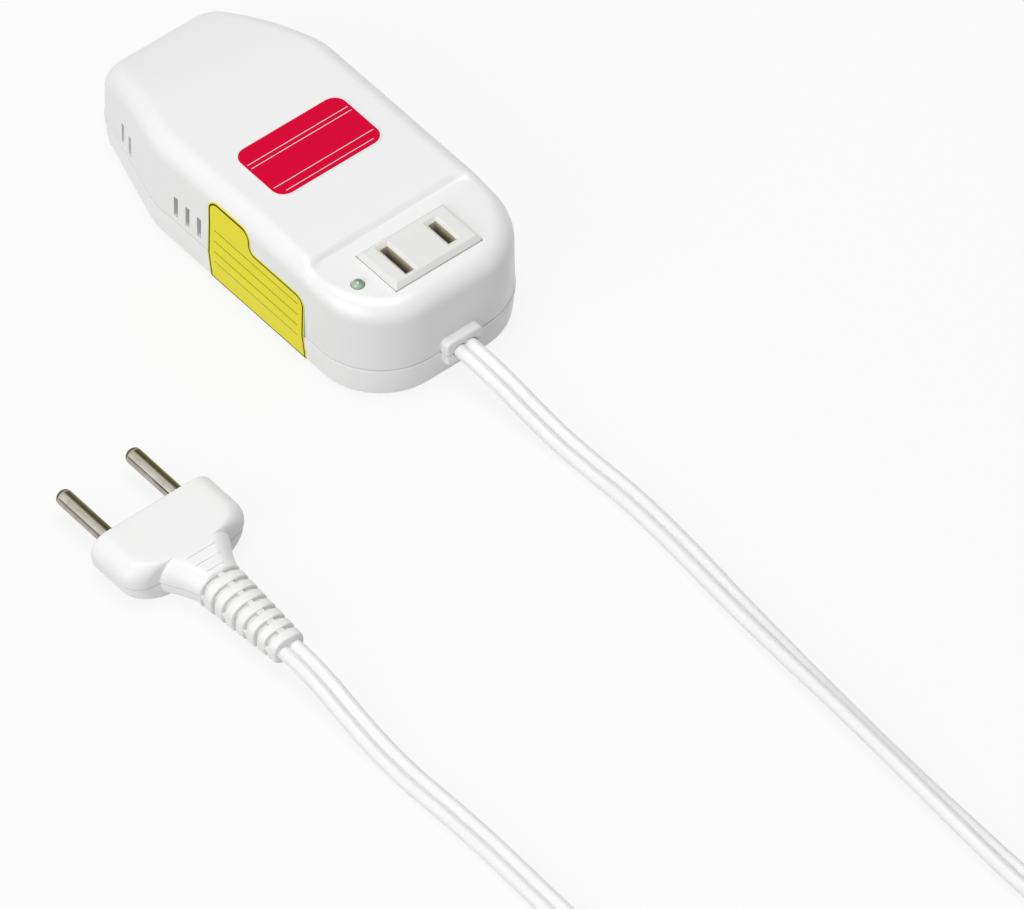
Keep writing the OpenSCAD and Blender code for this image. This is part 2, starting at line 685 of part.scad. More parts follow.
// Heat sink with its fins to the right, and the semiconductor screwed to its left face.
// On a shorter board the rows behind the sink's front edge draw together by row_k.
sink_at = 14;
leg_rise = 1.8;
leg_pitch = 2.54;
tab_h = 6.2;
tab_hole_h = 3.4;
sink_y = board_y0 + sink_at;
full_rows = 50;
row_k = min(1, (board_y1 - sink_y) / full_rows);
sink_len = row_k * sink_l;
triac_y = sink_y + sink_len / 2;
triac_z = board_top + leg_rise;
tab_top = triac_z + triac_h + tab_h;
tab_hole_z = triac_z + triac_h + tab_hole_h;
module heat_sink() color([0.8, 0.81, 0.83]) {
    pitch = (sink_len - fin_t) / (fin_count - 1);
    difference() {
        translate([sink_x, sink_y, board_top]) {
            cube([sink_t, sink_len, sink_h]);
            for (i = [0 : fin_count - 1])
                translate([sink_t - eps, i * pitch, 0]) cube([fin_l, fin_t, sink_h]);
        }
        translate([sink_x - 1, triac_y, tab_hole_z]) rotate([0, 90, 0])
            cylinder(d = sink_screw_d + 2 * fit, h = sink_t + 2);
    }
}
module triac_pad() color([0.85, 0.85, 0.8])
    translate([sink_x - pad_t, triac_y - triac_w / 2 - 1, triac_z]) difference() {
        cube([pad_t, triac_w + 2, tab_top - triac_z]);
        translate([-1, triac_w / 2 + 1, tab_hole_z - triac_z]) rotate([0, 90, 0])
            cylinder(d = sink_screw_d + 2 * fit, h = pad_t + 2);
    }
module triac() color([0.12, 0.12, 0.13]) {
    back = sink_x - pad_t;
    leg = 0.8;
    difference() {
        union() {
            translate([back - triac_t, triac_y - triac_w / 2, triac_z]) cube([triac_t, triac_w, triac_h]);
            translate([back - tab_t, triac_y - triac_w / 2, triac_z]) cube([tab_t, triac_w, tab_top - triac_z]);
            for (i = [-1 : 1])
                translate([back - triac_t / 2 - leg / 2, triac_y + i * leg_pitch - leg / 2, board_top])
                    cube([leg, leg, triac_z - board_top + eps]);
        }
        translate([back - triac_t, triac_y, tab_hole_z]) rotate([0, 90, 0])
            cylinder(d = sink_screw_d + 2 * fit, h = triac_t + 1);
    }
}
nut_t = 2.4;
module triac_screw() color(steel)
    translate([sink_x - pad_t - tab_t, triac_y, tab_hole_z]) rotate([0, 90, 0]) {
        cylinder(d = sink_screw_d, h = tab_t + pad_t + sink_t + nut_t + 0.6);
        translate([0, 0, -2.2]) cylinder(d = 1.8 * sink_screw_d, h = 2.2);
    }
module triac_nut() color(steel)
    translate([sink_x + sink_t, triac_y, tab_hole_z]) rotate([0, 90, 0]) difference() {
        cylinder(d = 1.05 * sink_screw_d / sin(30), h = nut_t * 0.99, $fn = 6);
        translate([0, 0, -1]) cylinder(d = sink_screw_d + 2 * bore_fit, h = nut_t + 2);
    }
module thermal_fuse() color([0.75, 0.62, 0.4]) {
    r = 2;
    translate([sink_x - r - bore_fit, sink_y + 4, board_top + 3]) {
        cylinder(r = r, h = 10);
        translate([0, 0, -3]) cylinder(r = 0.4, h = 3.5);
    }
}

// Choke: a ring core in its winding, which leaves two gaps open
choke_at = [-8, sink_y + 7 * row_k];
outer_r = row_k * choke_r;
inner_r = row_k * core_r;
winding_arc = 150;
module choke_core() color([0.35, 0.36, 0.38])
    translate([choke_at[0], choke_at[1], board_top + winding_t]) rotate_extrude()
        translate([inner_r, 0]) square([outer_r - winding_t - inner_r, choke_h - 2 * winding_t]);
module choke_winding() color([0.72, 0.35, 0.15])
    translate([choke_at[0], choke_at[1], board_top])
        for (a = [15, 195]) rotate([0, 0, a]) rotate_extrude(angle = winding_arc) difference() {
            translate([inner_r - winding_t, 0]) square([outer_r - inner_r + winding_t, choke_h]);
            translate([inner_r - bore_fit, winding_t - bore_fit])
                square([outer_r - winding_t - inner_r + 2 * bore_fit, choke_h - 2 * winding_t + 2 * bore_fit]);
        }

// Board parts behind the choke
module box_part(at, size) translate([at[0], at[1], board_top + size[2] / 2]) cube(size, center = true);
film_y = choke_at[1] + outer_r + 5 * row_k;
film_x = -11.5;
module film_capacitor() color([0.8, 0.65, 0.15]) box_part([film_x, film_y], [film_l, row_k * film_w, film_h]);
snubber_size = [4, 7.5 * row_k, 8];
snubber_at = [sink_x - 3.2, triac_y + row_k * triac_w / 2 + snubber_size[1]];
module snubber_capacitor() color([0.75, 0.3, 0.12]) box_part(snubber_at, snubber_size);
can_gap = 3.5;
can_w = row_k * can_d;
can_at = [-13, film_y + row_k * (film_w / 2 + can_gap) + can_w / 2];
module smoothing_capacitor() color([0.1, 0.12, 0.25]) {
    groove_z = board_top + 2;
    translate([can_at[0], can_at[1], 0]) difference() {
        translate([0, 0, board_top]) cylinder(d = can_w, h = can_h);
        translate([0, 0, groove_z]) rotate_extrude() translate([can_w / 2, 0]) circle(0.4);
        for (a = [0, 90]) rotate([0, 0, a])
            translate([-can_w / 4, -0.15, board_top + can_h - 0.3]) cube([can_w / 2, 0.3, 1]);
    }
}

// Flat package with two rows of legs that stand on the board
module leg_package(at, size, legs) {
    w = size[0];
    l = size[1];
    translate([at[0], at[1], board_top]) {
        translate([-w / 2, -l / 2, 0.5]) cube(size);
        for (side = [-1, 1]) for (i = [0 : legs - 1])
            translate([side * w / 2 - 0.3, (i - (legs - 1) / 2) * leg_pitch - 0.25, 0]) cube([0.6, 0.5, 1.5]);
    }
}
chip_at = [0, can_at[1] - 3 * row_k];
chip_size = [6.4, 9.8 * row_k, 3.3];
end_row_y = board_y1 - 5.5 * row_k;
rectifier_at = [4.5, end_row_y];
rectifier_size = [6.4, 8.4 * row_k, 3.2];
module control_chip() color([0.1, 0.1, 0.11]) leg_package(chip_at, chip_size, 4);
module bridge_rectifier() color([0.13, 0.13, 0.14]) leg_package(rectifier_at, rectifier_size, 2);

// Resistor that lies level, with its two leads bent down to the board
module resistor(at, d, l, rise, turn) {
    lead = 0.6;
    translate([at[0], at[1], board_top]) rotate([0, 0, turn]) {
        translate([-l / 2, 0, rise + d / 2]) rotate([0, 90, 0]) cylinder(d = d, h = l);
        for (side = [-1, 1]) {
            translate([side * (l / 2 + 1), 0, 0]) cylinder(d = lead, h = rise + d / 2 + lead / 2);
            translate([side * l / 2, 0, rise + d / 2]) rotate([0, side * 90, 0]) cylinder(d = lead, h = 1);
        }
    }
}
resistor_pitch = 2.6;
module small_resistors() color([0.55, 0.68, 0.8])
    for (i = [0 : 2]) resistor([-0.8 + resistor_pitch * i, film_y], 2.2, 6.2 * row_k, 0.2, 90);
module power_resistor() color([0.6, 0.62, 0.58])
    resistor([sink_x + 1.5, sink_y + sink_len + 6 * row_k], 4.6 * row_k, 12, 1.5, 0);
module varistor() color([0.12, 0.25, 0.6]) {
    legs = 1.4;
    translate([sink_x - 2, sink_y - varistor_t / 2 - 0.6, board_top]) {
        translate([0, varistor_t / 2, legs + varistor_d / 2]) rotate([90, 0, 0])
            cylinder(d = varistor_d, h = varistor_t);
        for (side = [-1, 1]) translate([side * varistor_d / 4, 0, 0]) cylinder(d = 0.8, h = legs + 1.5);
    }
}

// Fuse tube in its two clips at the board's front edge
fuse_y = board_y0 + 5.6;
fuse_z = board_top + fuse_d / 2 + 1.2;
clip_x = fuse_l / 2 - 2.5;
module fuse() color([0.8, 0.85, 0.85])
    translate([-fuse_l / 2, fuse_y, fuse_z]) rotate([0, 90, 0]) cylinder(d = fuse_d, h = fuse_l);
module fuse_clips() color(brass) {
    strip = 0.5;
    clip_l = 4;
    r = fuse_d / 2 + bore_fit;
    for (side = [-1, 1]) translate([side * clip_x - clip_l / 2, fuse_y, board_top]) {
        difference() {
            union() {
                translate([0, -r - strip, 0]) cube([clip_l, 2 * (r + strip), strip]);
                for (y = [-r - strip, r]) translate([0, y, 0]) cube([clip_l, strip, fuse_z - board_top + r / 2]);
            }
            translate([-1, 0, fuse_z - board_top]) rotate([0, 90, 0]) cylinder(r = r, h = clip_l + 2);
        }
        translate([0, -r / 2, 0]) cube([clip_l, r, fuse_z - board_top - r]);
    }
}

// Preset that trims the output voltage: its disc turns on a pivot of the base
preset_at = [-4, end_row_y];
base_w = row_k * preset_w;
disc_d = row_k * rotor_d;
rotor_z = board_top + preset_h + 0.1;
module preset_base() color([0.2, 0.35, 0.65]) translate([preset_at[0], preset_at[1], board_top]) {
    translate([-base_w / 2, -base_w / 2, 0]) cube([base_w, base_w, preset_h]);
    cylinder(d = pivot_d, h = preset_h + 0.1 + rotor_t);
}
module preset_rotor() color([0.9, 0.9, 0.88]) translate([preset_at[0], preset_at[1], rotor_z]) difference() {
    cylinder(d = disc_d, h = rotor_t);
    translate([0, 0, -1]) cylinder(d = pivot_d + 2 * bore_fit, h = rotor_t + 2);
    translate([-disc_d, -0.35, rotor_t - 0.6]) cube([2 * disc_d, 0.7, 1]);
}

// Bar that clamps the lead on its saddle
module cord_clamp() color([0.85, 0.85, 0.84]) difference() {
    translate([-clamp_w / 2, clamp_y - clamp_l / 2, cord_z + cord_t / 2]) cube([clamp_w, clamp_l, clamp_h]);
    for (side = [-1, 1])
        translate([side * clamp_screw_x, clamp_y, cord_z]) cylinder(r = pilot_r + fit, h = 2 * clamp_h + cord_t);
}

// Plug, which lies flat on the bench beside the case with its pins pointing the case's way
plug_at = [-82.9, -48.2, plug_t / 2];

// Lead's middle line, from the clamp, along the bench, round and back to the plug
route = [
    [0, -43, 8.6], [0, -49, 8.6], [0, -55, 8.5], [0.3, -61, 7.9], [0.8, -68, 6.4], [1.4, -76, 4.2],
    [2, -85, 2.4], [2.6, -95, 1.7], [3, -105, 1.6], [2.7, -116, 1.6], [1.9, -128, 1.6],
    [0.6, -143, 1.6], [-0.6, -160, 1.6], [-1.6, -178, 1.6], [-2.6, -197, 1.6], [-3.4, -217, 1.6],
    [-3.9, -238, 1.6], [-4, -258, 1.6], [-9.4, -278, 1.6], [-24, -292.6, 1.6], [-44, -298, 1.6],
    [-64, -292.6, 1.6], [-78.6, -278, 1.6], [-84, -258, 1.6], [-84.2, -238, 1.6], [-84.3, -218, 1.6],
    [-84.3, -198, 1.6], [-84, -180, 1.6], [-83.6, -164, 1.6], [-83.7, -150, 1.6], [-84.1, -138, 1.6],
    [-83.9, -127, 2], [-83.5, -117, 3.3], [-83.1, -108, 4.9], [-82.9, -101, 5.65], [-82.9, -95.7, 5.75]
];
route_steps = 2;
function catmull(a, b, c, d, t) =
    0.5 * (2 * b + (c - a) * t + (2 * a - 5 * b + 4 * c - d) * t * t + (3 * b - a - 3 * c + d) * t * t * t);
route_last = len(route) - 1;
function route_point(i) =
    i < 0 ? 2 * route[0] - route[1] : i > route_last ? 2 * route[route_last] - route[route_last - 1] : route[i];
lead_line = concat(
    [for (i = [0 : route_last - 1]) for (s = [0 : route_steps - 1])
        catmull(route_point(i - 1), route_point(i), route_point(i + 1), route_point(i + 2), s / route_steps)],
    [route[route_last]]);

// Section of the flat lead: two round cores side by side with a groove between them
lead_sides = 12;
function lead_section(i) =
    let (a = 360 * (i + 0.5) / lead_sides, r = cord_t / 2, side = cos(a) > 0 ? 1 : -1)
    [side * (cord_w / 2 - r) + r * cos(a) * 1.03, r * sin(a) * 1.03];
module cord() color(shell_white) {
    n = len(lead_line);
    along = [for (i = [0 : n - 1]) i == 0 ? [0, -1, 0] : i == n - 1 ? [0, 1, 0]
        : unit(lead_line[i + 1] - lead_line[i - 1])];
    sweep(lead_line, along, [for (t = along) unit(cross(t, [0, 0, 1]))],
          [for (i = [0 : lead_sides - 1]) lead_section(i)]);
}

// Plug moulding as rounded sections behind its face: [distance, half width, half height, squareness]
sleeve_end_w = 4.4;
sleeve_end_h = 3.4;
sleeve_start_w = 5.6;
sleeve_start_h = 4.6;
head_sections = [
    [0, plug_w / 2 - 1.3, plug_t / 2 - 1.2, 5], [0.5, plug_w / 2 - 0.5, plug_t / 2 - 0.45, 5],
    [1.6, plug_w / 2, plug_t / 2, 5], [5, plug_w / 2, plug_t / 2, 4.6], [11, plug_w / 2, plug_t / 2, 4.2],
    [13, plug_w / 2 - 0.6, plug_t / 2 - 0.2, 4], [14.4, plug_w / 2 - 1.8, plug_t / 2 - 0.5, 3.6],
    [15.4, plug_w / 2 - 3.6, plug_t / 2 - 0.8, 3.4], [16, plug_w / 2 - 6, plug_t / 2 - 1, 3.2],
    [16.6, plug_w / 2 - 7.4, plug_t / 2 - 1, 3], [18.6, plug_w / 2 - 8.8, plug_t / 2 - 1.05, 3],
    [21, plug_w / 2 - 10.1, plug_t / 2 - 1.1, 3], [plug_head_l, sleeve_start_w, sleeve_start_h, 3]
];
groove_pitch = sleeve_l / (sleeve_grooves + 0.9);
function sleeve_section(d, cut) = let (s = d / sleeve_l)
    [plug_head_l + d, sleeve_start_w + s * (sleeve_end_w - sleeve_start_w) - cut,
     sleeve_start_h + s * (sleeve_end_h - sleeve_start_h) - cut, 2.6];
sleeve_sections = concat(
    [for (i = [0 : sleeve_grooves - 1]) each [
        sleeve_section((i + 0.1) * groove_pitch, 0), sleeve_section((i + 0.2) * groove_pitch, groove_depth),
        sleeve_section((i + 0.5) * groove_pitch, groove_depth), sleeve_section((i + 0.6) * groove_pitch, 0)]],
    [sleeve_section(sleeve_l, 0)]);
plug_sections = concat(head_sections, sleeve_sections);
section_sides = 24;
function round_power(v, n) = sign(v) * pow(abs(v), 2 / n);
function plug_point(s, i) = let (a = 360 * (i + 0.5) / section_sides)
    [s[1] * round_power(cos(a), s[3]), -s[0], s[2] * round_power(sin(a), s[3])];
bridge_w = pin_pitch + 7;
bridge_h = 7;
bridge_l = 9;
module plug_body() color(shell_white) {
    n = len(plug_sections);
    translate(plug_at) difference() {
        polyhedron(
            points = [for (s = plug_sections) for (i = [0 : section_sides - 1]) plug_point(s, i)],
            faces = concat(
                [[for (i = [0 : section_sides - 1]) i]],
                [for (k = [0 : n - 2]) for (i = [0 : section_sides - 1])
                    let (a = k * section_sides + i, b = k * section_sides + (i + 1) % section_sides)
                    each [[a, a + section_sides, b], [b, a + section_sides, b + section_sides]]],
                [[for (i = [section_sides - 1 : -1 : 0]) (n - 1) * section_sides + i]]),
            convexity = 6);
        translate([-bridge_w / 2 - bore_fit, -bridge_l - bore_fit, -bridge_h / 2 - bore_fit])
            cube([bridge_w + 2 * bore_fit, bridge_l + 1, bridge_h + 2 * bore_fit]);
    }
}

// Hard block in the plug's face that carries the pins
pin_root_d = pin_d - 1;
module pin_bridge() color(insert_white) translate(plug_at) difference() {
    translate([-bridge_w / 2, -bridge_l, -bridge_h / 2]) cube([bridge_w, bridge_l, bridge_h]);
    for (side = [-1, 1]) translate([side * pin_pitch / 2, 1, 0]) rotate([90, 0, 0])
        cylinder(d = pin_root_d + 2 * bore_fit, h = bridge_l);
}

// Round pin with a domed tip and a thinner root that sits in the bridge
module plug_pin(side) color(steel)
    translate(plug_at) translate([side * pin_pitch / 2, 0, 0]) rotate([-90, 0, 0]) rotate_extrude() {
        translate([0, 1 - bridge_l]) square([pin_root_d / 2, bridge_l - 1 + eps]);
        square([pin_d / 2, pin_l - pin_d / 2]);
        translate([0, pin_l - pin_d / 2]) intersection() {
            circle(pin_d / 2);
            square(pin_d);
        }
    }
module plug_pin_left() plug_pin(-1);
module plug_pin_right() plug_pin(1);

upper_shell();
lower_shell();
case_screws();
socket_insert();
wide_slot_contact();
narrow_slot_contact();
output_wires();
lamp();
lamp_wires();
top_label();
side_label();
circuit_board();
board_screws();
heat_sink();
triac();
triac_pad();
triac_screw();
triac_nut();
thermal_fuse();
choke_core();
choke_winding();
film_capacitor();
snubber_capacitor();
smoothing_capacitor();
bridge_rectifier();
control_chip();
small_resistors();
power_resistor();
varistor();
fuse();
fuse_clips();
preset_base();
preset_rotor();
cord_clamp();
clamp_screws();
input_wires();
cord();
plug_body();
pin_bridge();
plug_pin_left();
plug_pin_right();
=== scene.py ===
import math

import bmesh
import bpy
import numpy as np
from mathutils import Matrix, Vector
from mathutils.geometry import delaunay_2d_cdt


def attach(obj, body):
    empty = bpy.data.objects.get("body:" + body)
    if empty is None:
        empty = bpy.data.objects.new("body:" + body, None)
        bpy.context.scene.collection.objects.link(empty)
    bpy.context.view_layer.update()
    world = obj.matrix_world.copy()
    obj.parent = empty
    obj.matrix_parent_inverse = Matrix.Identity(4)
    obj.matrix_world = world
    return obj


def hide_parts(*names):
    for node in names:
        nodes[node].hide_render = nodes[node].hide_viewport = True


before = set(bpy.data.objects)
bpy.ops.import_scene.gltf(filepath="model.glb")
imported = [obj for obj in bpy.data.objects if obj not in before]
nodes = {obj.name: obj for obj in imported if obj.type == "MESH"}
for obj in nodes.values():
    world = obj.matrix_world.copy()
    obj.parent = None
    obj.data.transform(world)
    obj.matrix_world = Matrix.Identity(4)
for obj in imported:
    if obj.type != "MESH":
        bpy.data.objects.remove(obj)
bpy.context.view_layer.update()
scene = bpy.context.scene
scene.view_settings.view_transform = "Standard"
mm = 0.001  # sizes below are in millimetres

# camera at the photo's viewing angle
camera = {
    "lens": 491.84,
    "azimuth": -39.7551,
    "elevation": 47.2379,
    "place": (-1313.41, -1648.68, 2208.24),
}


def placeCamera():
    data = bpy.data.cameras.new("photoCamera")
    data.lens = camera["lens"]
    holder = bpy.data.objects.new("photoCamera", data)
    holder.location = [v * mm for v in camera["place"]]
    holder.rotation_euler = (math.radians(90 - camera["elevation"]), 0, math.radians(camera["azimuth"]))
    scene.collection.objects.link(holder)
    scene.camera = holder


placeCamera()
print("camera placed")


# node helpers: a small wrapper keeps the trees short to read
class Tree:
    def __init__(self, nodeTree):
        self.nodes = nodeTree.nodes
        self.links = nodeTree.links

    def add(self, kind, inputs=None, **settings):
        node = self.nodes.new(kind)
        for key, value in settings.items():
            setattr(node, key, value)
        self.feed(node.inputs, inputs or {})
        return node

    def feed(self, sockets, values):  # links a socket, and sets anything else as a constant
        for key, value in values.items():
            if isinstance(value, bpy.types.NodeSocket):
                self.links.new(value, sockets[key])
            else:
                sockets[key].default_value = value

    def math(self, operation, a, b=0.0, clamp=False):
        return self.add("ShaderNodeMath", {0: a, 1: b}, operation=operation, use_clamp=clamp).outputs[0]

    def vector(self, operation, a, b, output=0):
        return self.add("ShaderNodeVectorMath", {0: a, 1: b}, operation=operation).outputs[output]

    def mixColor(self, factor, a, b, blend="MIX"):
        node = self.add("ShaderNodeMix", {0: factor, 6: a, 7: b}, data_type="RGBA", blend_type=blend)
        return node.outputs[2]

    def span(self, value, low, high, toLow=0.0, toHigh=1.0):
        node = self.add("ShaderNodeMapRange", {0: value, 1: low, 2: high, 3: toLow, 4: toHigh})
        return node.outputs[0]

    def between(self, low, high, share):
        wide = self.math("SUBTRACT", high, low)
        return self.math("ADD", low, self.math("MULTIPLY", share, wide))

    def noise(self, vector, scale, detail, distortion=0.0):
        inputs = {"Vector": vector, "Scale": scale, "Detail": detail, "Distortion": distortion}
        return self.add("ShaderNodeTexNoise", inputs).outputs[0]

    def place(self):  # the point in the piece's own space
        return self.add("ShaderNodeTexCoord").outputs["Object"]

    def bend(self):  # above 0.5 on convex edges, below it in hollows
        return self.add("ShaderNodeNewGeometry").outputs["Pointiness"]

    def group(self, name, inputs):
        return self.add("ShaderNodeGroup", inputs, node_tree=groups[name])

    def ramp(self, value, colors):
        node = self.add("ShaderNodeValToRGB", {0: value})
        stops = node.color_ramp.elements
        for i, (at, color) in enumerate(colors):
            stop = stops[i] if i < 2 else stops.new(at)
            stop.position = at
            stop.color = color
        return node


def newGroup(name, inputs, outputs):
    group = bpy.data.node_groups.new(name, "ShaderNodeTree")
    for label, kind, value in inputs:
        socket = group.interface.new_socket(label, in_out="INPUT", socket_type="NodeSocket" + kind)
        socket.default_value = value
    for label, kind in outputs:
        group.interface.new_socket(label, in_out="OUTPUT", socket_type="NodeSocket" + kind)
    tree = Tree(group)
    return group, tree, tree.add("NodeGroupInput").outputs, tree.add("NodeGroupOutput").inputs


paleGrey = (0.8, 0.8, 0.8, 1)
white = (1, 1, 1, 1)
bodyOutputs = [("Color", "Color"), ("Roughness", "Float"), ("Height", "Float")]
toneOutputs = [("Color", "Color")]

# moulded surface: a slow drift of tone, a fine grain and a roughness that follows both
moulded = {
    "driftDetail": 3.0,
    "grainDetail": 2.0,
    "smear": (140.0, 4.0, 0.6),
    "slowSpan": (0.3, 0.7),
    "fleckSpan": (0.35, 0.65, -0.5, 0.5),
    "fleckShare": 0.08,
    "shineShare": 0.5,
    "driftHeight": 0.6,
}


def mouldedGroup():
    group, tree, given, out = newGroup(
        "mouldedSurface",
        [("Base", "Color", paleGrey), ("Drift", "Color", (0.75, 0.75, 0.74, 1)),
         ("Drift Amount", "Float", 0.3), ("Drift Scale", "Float", 30.0), ("Grain Scale", "Float", 2500.0),
         ("Rough Low", "Float", 0.3), ("Rough High", "Float", 0.4)], bodyOutputs)
    place = tree.place()
    drift = tree.noise(place, given["Drift Scale"], moulded["driftDetail"])
    grain = tree.noise(place, given["Grain Scale"], moulded["grainDetail"])
    smear = tree.noise(place, *moulded["smear"])
    slow = tree.span(drift, *moulded["slowSpan"])
    fleck = tree.math("MULTIPLY", tree.span(grain, *moulded["fleckSpan"]), moulded["fleckShare"])
    amount = tree.math("ADD", tree.math("MULTIPLY", slow, given["Drift Amount"]), fleck, clamp=True)
    shine = [tree.math("MULTIPLY", value, moulded["shineShare"]) for value in (slow, smear)]
    shine = tree.math("ADD", *shine)
    tree.feed(out, {
        "Color": tree.mixColor(amount, given["Base"], given["Drift"]),
        "Roughness": tree.between(given["Rough Low"], given["Rough High"], shine),
        "Height": tree.math("ADD", grain, tree.math("MULTIPLY", drift, moulded["driftHeight"])),
    })
    return group


# edge highlight: painted highlight, convex edges turn a little brighter in patches
edgeHighlight = {"edgeSpan": (0.52, 0.6), "patch": (420.0, 3.0), "patchSpan": (0.35, 0.65, 0.2, 1.0)}


def edgeHighlightGroup():
    group, tree, given, out = newGroup(
        "edgeHighlight", [("Color", "Color", paleGrey), ("Highlight", "Color", white), ("Amount", "Float", 0.3)],
        toneOutputs)
    patch = tree.span(tree.noise(tree.place(), *edgeHighlight["patch"]), *edgeHighlight["patchSpan"])
    mask = tree.math("MULTIPLY", tree.span(tree.bend(), *edgeHighlight["edgeSpan"]), patch)
    mask = tree.math("MULTIPLY", mask, given["Amount"], clamp=True)
    tree.feed(out, {"Color": tree.mixColor(mask, given["Color"], given["Highlight"])})
    return group


# crevice tone: painted shade, hollows and creases are darkened towards a warm shade colour
creviceTone = {"hollowSpan": (0.4, 0.49, 1.0, 0.0), "shade": (0.5, 0.48, 0.44, 1)}


def creviceGroup():
    group, tree, given, out = newGroup(
        "creviceTone",
        [("Color", "Color", paleGrey), ("Shade", "Color", creviceTone["shade"]), ("Amount", "Float", 0.3)],
        toneOutputs)
    hollow = tree.span(tree.bend(), *creviceTone["hollowSpan"])
    mask = tree.math("MULTIPLY", hollow, given["Amount"], clamp=True)
    tree.feed(out, {"Color": tree.mixColor(mask, given["Color"], given["Shade"])})
    return group


# drawn lines along one axis, for pins, contacts, screws and other bright metal
drawn = {"lines": (4.0, 3.0), "cloud": (260.0, 2.0), "toneSpan": (0.75, 1.25), "toneShare": 0.6}


def drawnGroup():
    group, tree, given, out = newGroup(
        "drawnLines",
        [("Base", "Color", paleGrey), ("Dull", "Color", (0.6, 0.6, 0.58, 1)),
         ("Stretch", "Vector", (900.0, 30.0, 900.0)),
         ("Rough Low", "Float", 0.1), ("Rough High", "Float", 0.25)], bodyOutputs)
    place = tree.place()
    lines = tree.noise(tree.vector("MULTIPLY", place, given["Stretch"]), *drawn["lines"])
    cloud = tree.noise(place, *drawn["cloud"])
    tone = tree.span(tree.math("ADD", lines, cloud), *drawn["toneSpan"])
    dull = tree.math("MULTIPLY", tone, drawn["toneShare"])
    tree.feed(out, {
        "Color": tree.mixColor(dull, given["Base"], given["Dull"]),
        "Roughness": tree.between(given["Rough Low"], given["Rough High"], tone),
        "Height": lines,
    })
    return group


groups = {"moulded": mouldedGroup(), "edgeShine": edgeHighlightGroup(), "crevice": creviceGroup(), "drawn": drawnGroup()}


def emptyTree(holder):
    holder.use_nodes = True
    holder.node_tree.nodes.clear()
    return Tree(holder.node_tree)


def newMaterial(name):
    material = bpy.data.materials.new(name)
    tree = emptyTree(material)
    shader = tree.add("ShaderNodeBsdfPrincipled")
    tree.feed(tree.add("ShaderNodeOutputMaterial").inputs, {"Surface": shader.outputs[0]})
    return material, tree, shader.inputs


def dress(tree, sockets, body, color, strength, depth):  # joins a body group to the shader
    bump = tree.add("ShaderNodeBump", {"Height": body.outputs["Height"], "Strength": strength,
                                       "Distance": depth * mm})
    tree.feed(sockets, {"Base Color": color, "Roughness": body.outputs["Roughness"],
                        "Normal": bump.outputs[0]})


def opaque(color):
    return tuple(color[:3]) + (1.0,)


def shade(color, factor):
    return opaque([channel * factor for channel in color[:3]])


# plastic: colour and finish of one moulding
plasticLook = {
    "driftTone": 0.96,
    "driftAmount": 0.5,
    "hollowTone": 0.7,
    "highlightTone": 1.05,
    "softRadius": (1.0, 0.9, 0.8),
    "softScale": 0.6,
    "bumpDepth": 0.02,
}


def plastic(name, base, rough, drift=None, driftScale=30.0, grain=2500.0, crevice=0, hollow=None, edgeShine=0,
            ior=1.5, soft=0, coat=0, coatRough=0.12, bump=0.12):
    material, tree, sockets = newMaterial(name)
    body = tree.group("moulded", {
        "Base": opaque(base), "Drift": opaque(drift or shade(base, plasticLook["driftTone"])),
        "Drift Amount": plasticLook["driftAmount"], "Drift Scale": driftScale, "Grain Scale": grain,
        "Rough Low": rough[0], "Rough High": rough[1]})
    color = body.outputs["Color"]
    # painted shade: hollows and creases darken towards the shade colour
    if crevice:
        creaseShade = opaque(hollow or shade(base, plasticLook["hollowTone"]))
        color = tree.group("crevice", {"Color": color, "Amount": crevice, "Shade": creaseShade}).outputs["Color"]
    # painted highlight: convex edges turn a little brighter
    if edgeShine:
        bright = opaque([min(1.0, c) for c in shade(base, plasticLook["highlightTone"])])
        color = tree.group("edgeShine", {"Color": color, "Amount": edgeShine, "Highlight": bright}).outputs["Color"]
    dress(tree, sockets, body, color, bump, plasticLook["bumpDepth"])
    tree.feed(sockets, {"IOR": ior})
    if soft:
        tree.feed(sockets, {"Subsurface Weight": soft, "Subsurface Radius": plasticLook["softRadius"],
                            "Subsurface Scale": plasticLook["softScale"] * mm})
    if coat:
        tree.feed(sockets, {"Coat Weight": coat, "Coat Roughness": coatRough})
    return material


# metal: drawn or plated, with lines along its length
metalLook = {"dullTone": 0.8, "hollowTone": 0.35, "bumpDepth": 0.01}


def metal(name, base, rough, stretch=(900.0, 30.0, 900.0), crevice=0, bump=0.1):
    material, tree, sockets = newMaterial(name)
    body = tree.group("drawn", {
        "Base": opaque(base), "Dull": shade(base, metalLook["dullTone"]), "Stretch": stretch,
        "Rough Low": rough[0], "Rough High": rough[1]})
    color = body.outputs["Color"]
    # painted shade: hollows and creases darken towards the shade colour
    if crevice:
        creaseShade = shade(base, metalLook["hollowTone"])
        color = tree.group("crevice", {"Color": color, "Amount": crevice, "Shade": creaseShade}).outputs["Color"]
    dress(tree, sockets, body, color, bump, metalLook["bumpDepth"])
    tree.feed(sockets, {"Metallic": 1.0})
    return material


